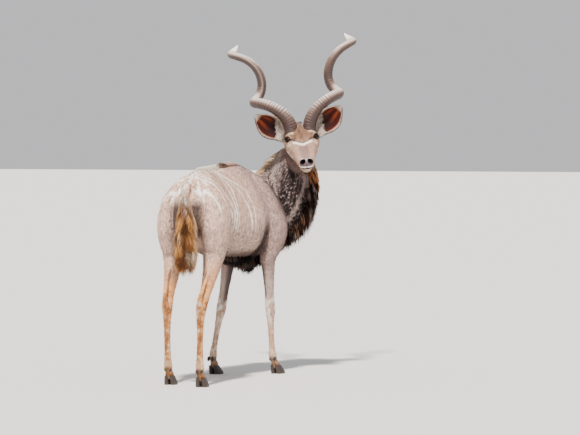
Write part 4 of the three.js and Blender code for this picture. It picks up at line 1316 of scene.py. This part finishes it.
def ridge_hair(name):
    part, way, rows = RIDGES[name]
    count, (first, last), spread, lean, hang, width = LOCKS[name]
    random = np.random.default_rng(100 + len(name) + count)
    rings = PARTS[part]
    shares = random.uniform(first, last, count)
    aside = np.clip(random.normal(0, 0.45, count), -1, 1)
    spreads = np.full(count, spread)
    if name == "crest":
        spreads = spread * (1 + 2.0 * fall(0.4, 0.5, shares))
    angles = way * math.pi / 2 + spreads * aside
    roots, outs, along = rings.on_surface(shares, angles)
    table = np.array(rows)
    height = np.interp(shares, table[:, 0], table[:, 1])
    height = np.maximum(height, 9) * random.uniform(0.55, 1.06, count)
    height *= 1 - 0.45 * np.abs(aside)
    across = unit(np.cross(outs, along))
    clump = np.round(shares * 55 + aside * 2)
    drift = np.sin(clump * 12.9898) * 0.35
    start = unit(
        outs
        - along * (lean * random.uniform(0.7, 1.2, count))[:, None]
        + across * (aside * 0.5 + drift * 0.5 + random.normal(0, 0.1, count))[:, None]
    )
    end = unit(
        start
        - UP * hang
        - along * random.uniform(0.4, 0.8, count)[:, None]
        + across * (drift + random.normal(0, 0.15, count))[:, None]
    )
    reach = ((start + end) * 0.5 * outs).sum(axis=1)
    length = np.minimum((height + 6) / np.maximum(reach, 0.4), LONGEST_LOCK)
    colour = lock_colours(name, shares, angles, random)
    colour = colour * random.uniform(0.75, 1.15, (count, 1))
    blades("hair_" + name, 4, dict(
        root=roots - outs * 7,
        out=unit(outs + across * random.normal(0, 0.5, (count, 1))),
        start=start,
        end=end,
        wave=across * random.uniform(-0.6, 0.6, (count, 1)),
        length=length,
        width=width * random.uniform(0.6, 1.3, count),
        thick=LOCK_THICK,
        base=colour * (0.95 if name == "crest" else 0.7),
        tip=tip_colours(name, colour, shares, random),
        map=map_place(NAMES.index(part), shares, np.arctan2(np.sin(angles), np.cos(angles))),
    ))


def tail_hair():
    """Wavy clumps that hang round the tail, where every lock keeps to its clump's bend."""
    clumps = TAIL_CLUMPS
    random = np.random.default_rng(4242)
    clump = np.repeat(np.arange(clumps), CLUMP_LOCKS)
    count = len(clump)
    clump_share = 0.2 + 0.68 * (np.arange(clumps) / clumps) ** 0.85
    clump_angle = np.arange(clumps) * 2.4
    shares = np.clip(clump_share[clump] + random.normal(0, 0.025, count), 0.16, 0.94)
    angles = clump_angle[clump] + random.normal(0, 0.17, count)
    angles = np.arctan2(np.sin(angles), np.cos(angles))
    roots, outs, along = PARTS["tail"].on_surface(shares, angles)
    across = np.cross(outs, along)
    fuller = ramp(0.2, 0.42, shares)
    sway = random.normal(0, 0.5, clumps)[clump]
    rise = random.uniform(0.2, 0.75, clumps)[clump]
    start = unit(along + outs * (rise * fuller + 0.15)[:, None] + across * sway[:, None] * 0.7)
    end = unit(
        along
        + outs * random.uniform(-0.3, 0.15, count)[:, None]
        - across * (sway + random.normal(0, 0.12, count))[:, None]
        - UP * 0.5
    )
    edge = ramp(0.72, 1.0, np.abs(np.cos(angles)))
    pale = random.uniform(0, 1, clumps)[clump]
    dark = random.uniform(0, 1, clumps)[clump]
    middle = near(np.cos(angles), 0, 0.14, 0.16) * (np.sin(angles) > 0)
    colour = layers(
        TAIL_GOLD,
        (TAIL_BROWN, ramp(0.5, 0.6, dark) * 0.95),
        (CREAM, np.maximum(ramp(0.88, 0.92, pale) * 0.6, edge * 0.3)),
        (TAIL_BROWN * 0.5, middle * near(shares, 0.55, 0.18, 0.1) * 0.85),
        (BACK_PALE, (1 - fuller) * 0.9),
    )
    shade = random.uniform(0.8, 1.15, count) * random.uniform(0.42, 1.3, clumps)[clump]
    colour = colour * shade[:, None]
    blades("hair_tail", 4, dict(
        root=roots - outs * 9,
        out=unit(outs + across * random.normal(0, 0.3, (count, 1))),
        start=start,
        end=end,
        wave=across * np.sign(sway)[:, None] * random.uniform(0.3, 1.0, (count, 1)),
        length=(52 + 96 * fuller) * random.uniform(0.7, 1.12, count) * (1.1 - 0.4 * shares),
        width=random.uniform(3.5, 7.5, count),
        thick=LOCK_THICK,
        base=mix(colour * 0.4, TAIL_BROWN * 0.5, 0.5),
        tip=np.clip(colour * 1.25, 0, 1),
        map=map_place(NAMES.index("tail"), shares, angles),
    ))


# Horns

HORN_LEAN = math.radians(50)
# degrees of the coil, how far aside and along its axis is, the coil's radius, the thickness
HORN_TABLE = np.array([
    (-14, 142, -24, 84, 88),
    (0, 147, 0, 85, 86),
    (45, 156, 60, 86, 78),
    (90, 166, 122, 85, 71),
    (180, 190, 250, 82, 67),
    (270, 240, 362, 74, 65),
    (360, 284, 468, 68, 61),
    (450, 306, 576, 66, 54),
    (540, 334, 684, 59, 46),
    (600, 350, 746, 50, 42),
    (650, 354, 792, 36, 9),
], float)
HORN_SPREAD = {1: 0.085, -1: -0.032}  # how far aside each axis goes along its length
HORN_UP, HORN_BACK = 80, 48  # of the axis's start, from between the eyes
HORN_START, HORN_END = -14, 650  # degrees of the coil
HORN_RIDGES = 86
HORN_ROWS, HORN_SIDES = 860, 32


def from_eyes(left, up, behind):
    left, up, behind = (np.asarray(value, float)[..., None] for value in (left, up, behind))
    return EYE_MIDDLE + head_left * left + head_up * up - facing * behind


def horn_centre(side, degrees):
    aside, along, radius, thick = through(HORN_TABLE[:, 0], HORN_TABLE[:, 1:], degrees).T
    phase = np.radians(degrees)
    forward = radius * np.sin(phase)
    centre = from_eyes(
        side * (aside + HORN_SPREAD[side] * along - radius * np.cos(phase)),
        HORN_UP + along * math.sin(HORN_LEAN) + forward * math.cos(HORN_LEAN),
        HORN_BACK + along * math.cos(HORN_LEAN) - forward * math.sin(HORN_LEAN),
    )
    return centre, thick


def horn(name, side):
    """A spiral horn with a keel, and rings that fade towards its smooth ivory tip."""
    rows, sides = HORN_ROWS, HORN_SIDES
    degrees = np.linspace(HORN_START, HORN_END, rows)
    centre, thick = horn_centre(side, degrees)
    along = unit(horn_centre(side, degrees + 1)[0] - horn_centre(side, degrees - 1)[0])
    share = (degrees - HORN_START) / (HORN_END - HORN_START)
    angles = np.arange(sides) / sides * 2 * math.pi
    random = np.random.default_rng(7)
    lumps = ripple(columns(share * 2400, 0, 0), 70, 17)
    around, lengthwise = np.tile(angles, rows), np.repeat(share, sides)
    fine = columns(np.cos(around) * 60, np.sin(around) * 60, lengthwise * 260)
    scratches = ripple(fine, 11, 19).reshape(rows, sides)
    keel_near = bell((np.angle(np.exp(1j * (angles - math.pi / 2))), 0.34))
    keel = -head_up
    points, colours = [], []
    for i in range(rows):
        keel = unit(keel - along[i] * (keel @ along[i]))
        across = np.cross(along[i], keel)
        fade = fall(300, 430, degrees[i])
        turn = share[i] * HORN_RIDGES * 2 * math.pi + 1.6 * lumps[i]
        wave = 0.5 + 0.5 * np.sin(turn + 0.5 * np.sin(angles * 2 + 1))
        groove = (1 - wave) ** 3
        rise = (0.016 - 0.055 * groove) * fade * (1 - 0.5 * keel_near)
        radius = thick[i] / 2 * (1 + rise + 0.012 * lumps[i])
        x = np.cos(angles) * radius * 0.97
        y = np.sin(angles) * radius
        y = np.where(y > 0, y * (1 + 0.12 * keel_near), y * 0.99)
        points.append(centre[i] + across * x[:, None] + keel * y[:, None])
        # up is how far the horn's surface faces the sky. The upward faces get a painted highlight
        # (HORN_PALE, brighter on the ridges), the lower faces painted shade (HORN_BROWN), and the
        # undersides deeper painted shade (HORN_DARK).
        up = (across * np.cos(angles)[:, None] + keel * np.sin(angles)[:, None])[:, 2]
        colour = layers(
            HORN_GREY,
            (HORN_BROWN, ramp(0.6, 0.2, up) * 0.9),
            (HORN_PALE, ramp(0.4, 0.9, up) * (0.5 + 0.35 * wave)),
            (HORN_DARK, ramp(0.22, -0.08, up) * 0.9),
            (HORN_DARK, groove * 0.9 * (0.3 + 0.7 * fade)),
            (HORN_DARK, 0.45 * fall(0.0, 0.12, share[i])),
        )
        colour = layers(
            colour * (1 + 0.14 * scratches[i])[:, None],
            (HORN_PALE, keel_near**3 * ramp(0.1, 0.3, share[i]) * 0.2),
            (IVORY, ramp(0.86, 0.92, share[i])),
        )
        colours.append(colour * random.uniform(0.94, 1.06))
    grid = np.arange(rows * sides).reshape(rows, sides)
    beside = np.roll(grid, -1, axis=1)
    faces = np.stack([grid[:-1], beside[:-1], beside[1:], grid[1:]], axis=-1).reshape(-1, 4)
    faces = faces.tolist() + [grid[0].tolist(), grid[-1, ::-1].tolist()]
    made = mesh_object("horn_fine_" + name, np.vstack(points), faces)
    fix_normals(made)
    paint(made, np.vstack(colours))
    finish_piece(made, HORN, ["horn_" + name])


# Ears

EAR_ROOT = (98, 12, 62)  # aside, up and behind, from between the eyes
EAR_TIP = (283, 190, 18)
# share of the length, reach over and under the middle, and depth of the cup
EAR_TABLE = np.array([
    (-0.12, 26, 24, 20),
    (0.04, 34, 30, 30),
    (0.2, 56, 46, 46),
    (0.38, 80, 70, 50),
    (0.55, 82, 78, 42),
    (0.7, 72, 68, 30),
    (0.84, 48, 46, 16),
    (0.94, 25, 25, 7),
    (1.0, 9, 9, 2),
], float)
EAR_THICK = 5
EAR_ROWS, EAR_COLUMNS = 60, 48
FRINGE_HAIRS, INNER_HAIRS, BACK_HAIRS = 1300, 1300, 2600


class Ear:
    """The cup of one ear: a place for each share along it and each angle across it."""

    def __init__(self, side):
        self.root = from_eyes(side * EAR_ROOT[0], *EAR_ROOT[1:])
        tip = from_eyes(side * EAR_TIP[0], *EAR_TIP[1:])
        self.length = np.linalg.norm(tip - self.root)
        self.along = unit(tip - self.root)
        back = -facing
        self.depth = unit(back - self.along * (back @ self.along))
        above = np.cross(self.depth, self.along)
        self.above = above if above @ head_up > 0 else -above

    def at(self, shares, angles, inner):
        over, under, cup = through(EAR_TABLE[:, 0], EAR_TABLE[:, 1:], shares).T
        reach = np.where(angles < 0, under, over)
        skin = np.where(inner, -EAR_THICK * np.maximum(0.12, np.cos(angles)), 0)
        centre = self.root + self.along * (shares * self.length)[:, None]
        across = np.sin(angles) * (reach - np.where(inner, 1.5, 0))
        deep = np.cos(angles) * cup + skin
        fold = np.where(inner, 3.0 * np.cos(angles * 5) * ramp(0.1, 0.4, shares), 0)
        return centre + self.above * across[:, None] + self.depth * (deep + fold * 0.3)[:, None]

    def ahead(self, shares, angles, inner):
        """The way along the cup from each place."""
        beyond = self.at(np.minimum(shares + 0.02, 1), angles, inner)
        return unit(beyond - self.at(shares, angles, inner))


def ear(name, side):
    cup = Ear(side)
    rows, across = EAR_ROWS, EAR_COLUMNS
    shares = np.repeat(np.linspace(-0.12, 1, rows), across)
    angles = np.tile(np.linspace(-math.pi / 2, math.pi / 2, across), rows)
    points = np.vstack([cup.at(shares, angles, inner) for inner in (False, True)])
    start = rows * across
    faces = []
    for i in range(rows - 1):
        for k in range(across - 1):
            a = i * across + k
            b = a + across
            faces.append((a, a + 1, b + 1, b))
            faces.append((start + a, start + b, start + b + 1, start + a + 1))
        for k in (0, across - 1):
            a = i * across + k
            faces.append((a, a + across, start + a + across, start + a))
    for i in (0, rows - 1):
        for k in range(across - 1):
            a = i * across + k
            faces.append((a, a + 1, start + a + 1, start + a))
    made = mesh_object("ear_cup_" + name, points, faces)
    fix_normals(made)
    paint(made, np.vstack([ear_back_colour(shares, angles), ear_inside_colour(shares, angles)]))
    finish_piece(made, SKIN, ["ear_" + name])
    ear_hair(name, side, cup)


def ear_back_colour(shares, angles):
    return layers(
        EAR_BACK,
        (DARK, ramp(0.9, 1.3, np.abs(angles)) * 0.85),
        (DARK * 1.6, ramp(0.7, 0.97, shares) * 0.6),
        (CREAM, fall(0.0, 0.2, shares) * 0.4),
    )


def ear_inside_colour(shares, angles):
    veins = ramp(0.0, 0.9, ripple(columns(angles * 60, shares * 50, 0), 34, 41))
    deep = ramp(0.5, 0.95, np.cos(angles - 0.2)) * ramp(0.85, 0.4, shares)
    rim = ramp(0.8, 1.15, np.abs(angles)) * (1 - 0.5 * ramp(0.85, 1.0, shares))
    return layers(
        EAR_INSIDE,
        # EAR_GLOW is a painted glow of light shining through the thin ear, laid in the pattern of
        # its veins
        (EAR_GLOW, veins * ramp(0.35, 0.6, shares) * 0.8),
        # painted shade in the deep hollow of the cup
        (DARK, deep * 0.8),
        (EAR_PINK, rim * 0.85),
        (CREAM, ramp(0.84, 0.95, shares) * 0.5),
        (EAR_PINK, fall(0.04, 0.26, shares - 0.12 * np.sin(angles)) * 0.9),
        # painted shade in the opening at the ear's root
        (DARK * 2, fall(0.0, 0.14, shares + 0.1 * np.sin(angles)) * 0.8),
    )


def ear_hair(name, side, cup):
    """White fringes along the rims and rows inside, and short hair over the back."""
    random = np.random.default_rng(50 + side)
    count = FRINGE_HAIRS + INNER_HAIRS
    shares = random.uniform(0.02, 0.97, count)
    angles = random.choice([-1.5, -1.42, 1.42, 1.5], count) + random.normal(0, 0.04, count)
    inside = np.arange(count) >= FRINGE_HAIRS
    angles[inside] = 1.35 - 2.7 * random.random(INNER_HAIRS) ** 1.7
    upper = ramp(-0.3, 0.9, angles[inside])
    shares[inside] = 0.03 + (0.1 + 0.32 * upper) * random.random(INNER_HAIRS)
    angles = np.clip(angles, -1.56, 1.56)
    along = cup.ahead(shares, angles, True)
    inward = -np.sign(angles)[:, None] * cup.above
    lift = np.where(inside, 0.55, 0.5)[:, None]
    start = unit(along * 0.7 + inward * np.where(inside, 0.15, 0.5)[:, None] - cup.depth * lift)
    end = unit(along + inward * random.uniform(0, 0.6, (count, 1)) - cup.depth * 0.1)
    white = random.uniform(0, 0.9, count)
    lower = (angles < -1.3) * ramp(0.1, 0.2, shares) * (random.random(count) < 0.65)
    colour = layers(
        EAR_PINK * 0.6,
        (WHITE, white),
        (DARK * 1.5, lower * 0.9),
        (EAR_INSIDE, ramp(0.6, 1.0, shares) * 0.4),
    )
    length = np.where(inside, 42 * (1 - 0.6 * shares), 22 * (1.1 - 0.6 * shares))
    blades("ear_fringe_" + name, 3, dict(
        root=cup.at(shares, angles, True),
        out=-cup.depth,
        start=start,
        end=end,
        length=length * random.uniform(0.6, 1.2, count),
        wave=np.cross(start, cup.depth) * random.uniform(-0.5, 0.5, (count, 1)),
        width=random.uniform(1.6, 2.8, count),
        thick=1.0,
        base=colour * 0.55,
        tip=colour,
        map=map_place(NAMES.index("head"), shares * 0.2, angles),
    ))
    shares = random.uniform(-0.05, 0.98, BACK_HAIRS)
    angles = random.uniform(-1.5, 1.5, BACK_HAIRS)
    along = cup.ahead(shares, angles, False)
    outs = unit(cup.depth * np.cos(angles)[:, None] + cup.above * np.sin(angles)[:, None])
    colour = ear_back_colour(shares, angles) * random.uniform(0.8, 1.15, (BACK_HAIRS, 1))
    blades("ear_coat_" + name, 2, dict(
        root=cup.at(shares, angles, False),
        out=outs,
        start=unit(along + outs * 0.35),
        end=along,
        wave=np.cross(outs, along) * random.uniform(-0.3, 0.3, (BACK_HAIRS, 1)),
        length=random.uniform(8, 13, BACK_HAIRS),
        width=random.uniform(2.5, 3.6, BACK_HAIRS),
        thick=0.8,
        base=colour * 0.9,
        tip=np.clip(colour * 1.1, 0, 1),
        map=map_place(NAMES.index("head"), shares * 0.2, angles),
    ))


# Eyes and hooves

def eye(name, side):
    data = bmesh.new()
    bmesh.ops.create_uvsphere(data, u_segments=48, v_segments=32, radius=EYE_RADIUS)
    data.verts.index_update()
    local = np.array([vertex.co for vertex in data.verts])
    faces = [[vertex.index for vertex in face.verts] for face in data.faces]
    data.free()
    points = local @ eye_axes(side) + in_head(side * EYE_LEFT, EYE_OUT, EYE_ALONG)
    made = mesh_object("eyeball_" + name, points, faces)
    x, y, z = (local / EYE_RADIUS).T
    iris = fall(0.62, 0.7, np.hypot(x, y))
    pupil = fall(0.9, 1.05, np.hypot(x / 0.46, y / 0.22))
    in_front = z > 0
    paint(made, layers(EYE_BROWN, (IRIS_BROWN, iris * in_front), (PUPIL_BLACK, pupil * in_front)))
    finish_piece(made, EYE, ["eye_" + name])


# height, how far forward, half width, reach in front and behind
CLAW = [
    (0, 8, 19.5, 52, 40),
    (12, 6, 20, 50, 40),
    (34, -6, 18, 40, 36),
    (HOOF_HEIGHT, -20, 15.5, 30, 30),
]


def foot_of(name):
    """The middle of a foot on the ground, its front, and its outward way."""
    station = FORE_STATION if name.startswith("fore") else HIND_STATION
    front = trunk_towards(0, 1, 0, station)
    return PARTS["leg_" + name].centre[-1] * np.array([1, 1, 0]), front, np.cross(front, UP)


def hoof(name, which, label):
    centre, front, outward = foot_of(name)
    toe = turned(front, UP, -which * 0.07)
    stations = []
    for height, forward, side, before, behind in CLAW:
        spot = centre + outward * which * (side + 1.2) + front * (forward + 12) + UP * height
        stations.append((spot, toe, (side, before, behind, 1.7, 2.2)))
    points, faces = Rings(stations, 6, UP).mesh(40)
    made = mesh_object(f"claw_{name}_{label}", points, faces)
    fix_normals(made)
    made.data.polygons[len(made.data.polygons) - 1].use_smooth = False
    height = points[:, 2] / HOOF_HEIGHT
    band = 0.5 + 0.5 * np.sin(height * 30)
    worn = fall(0.0, 0.2, height) * 0.5
    paint(made, layers(HOOF_GREY, (HOOF_BAND, band * 0.25), (HOOF_WORN, worn)))
    finish_piece(made, HOOF, [f"hoof_{name}_{label}"])


def dew_claws(name):
    centre, front, outward = foot_of(name)
    for label, which in (("outer", 1), ("inner", -1)):
        spot = centre + outward * which * 15 - front * 53 + UP * 104
        stations = [
            (spot + UP * height, front, (size * 0.8, size, size, 2, 2))
            for height, size in ((14, 4), (8, 9), (-4, 11), (-12, 9), (-17, 3))
        ]
        points, faces = Rings(stations, 3).mesh(16)
        made = mesh_object(f"dewclaw_{name}_{label}", points, faces)
        fix_normals(made)
        paint(made, HOOF_GREY)
        finish_piece(made, HOOF)


# Building

skin = voxel_skin()
refine_face(skin)
sculpt_face(skin)
paint(skin, coat_colour(vertices_of(skin.data), normals_of(skin.data)))
flesh_nodes = ["head", "neck", "torso", "tail"] + ["leg_" + name for name in FEET]
finish_piece(skin, SKIN, flesh_nodes)
short_coat(skin.data)
for ridge_name in RIDGES:
    ridge_hair(ridge_name)
tail_hair()
for side_name, side_sign in SIDES.items():
    horn(side_name, side_sign)
    ear(side_name, side_sign)
    eye(side_name, side_sign)
for foot_name in FEET:
    hoof(foot_name, 1, "outer")
    hoof(foot_name, -1, "inner")
    dew_claws(foot_name)


# Floor, light and camera

FLOOR_HALF = 60000
SKY_STRENGTH, SUN_STRENGTH = 0.7, 8.6
SUN_WAY, SUN_WIDTH = (0.05, -0.66, -1.0), math.radians(5)


def facing_way(way):
    return Vector(way).to_track_quat("-Z", "Y").to_euler()


def studio():
    half = FLOOR_HALF
    corners = [(-half, -half, 0), (half, -half, 0), (half, half, 0), (-half, half, 0)]
    floor = mesh_object("floor", corners, [(0, 1, 2, 3)])
    pale = bpy.data.materials.new("pale_floor")
    pale.use_nodes = True
    shader = pale.node_tree.nodes["Principled BSDF"]
    set_inputs(shader, Base_Color=(0.7, 0.69, 0.67, 1), Roughness=0.9)
    floor.data.materials.append(pale)
    world = bpy.data.worlds.new("studio")
    bpy.context.scene.world = world
    world.use_nodes = True
    sky = world.node_tree.nodes["Background"]
    set_inputs(sky, Color=(0.97, 0.97, 1.0, 1), Strength=SKY_STRENGTH)
    sun = bpy.data.lights.new("sun", "SUN")
    sun.energy = SUN_STRENGTH
    sun.angle = SUN_WIDTH
    sun.color = (1.0, 0.93, 0.87)
    lamp = link_object("sun", sun)
    lamp.rotation_euler = facing_way(SUN_WAY)


CAMERA_AZIMUTH = math.radians(194)
CAMERA_ELEVATION = math.radians(2)
CAMERA_DISTANCE = 22000
WIDTH_AT_TAIL = 3625  # width of the picture where the tail is
SENSOR = 36
TAIL_ROOT = place(0, 60, 1255)
TAIL_RIGHT, TAIL_UP = -637.5, 196.9  # where that is from the middle of the picture


def camera():
    level = math.cos(CAMERA_ELEVATION)
    aside, ahead = math.sin(CAMERA_AZIMUTH) * level, -math.cos(CAMERA_AZIMUTH) * level
    back = np.array([aside, ahead, math.sin(CAMERA_ELEVATION)])
    right = unit(np.cross(-back, UP))
    up = np.cross(right, -back)
    aim = TAIL_ROOT - right * TAIL_RIGHT - up * TAIL_UP
    data = bpy.data.cameras.new("camera")
    data.sensor_width = SENSOR
    data.sensor_fit = "HORIZONTAL"
    data.lens = SENSOR * CAMERA_DISTANCE / WIDTH_AT_TAIL
    data.clip_end = 200
    made = link_object("camera", data)
    made.location = Vector((aim + back * CAMERA_DISTANCE) * MM)
    made.rotation_euler = facing_way(-back)
    bpy.context.scene.camera = made


studio()
camera()
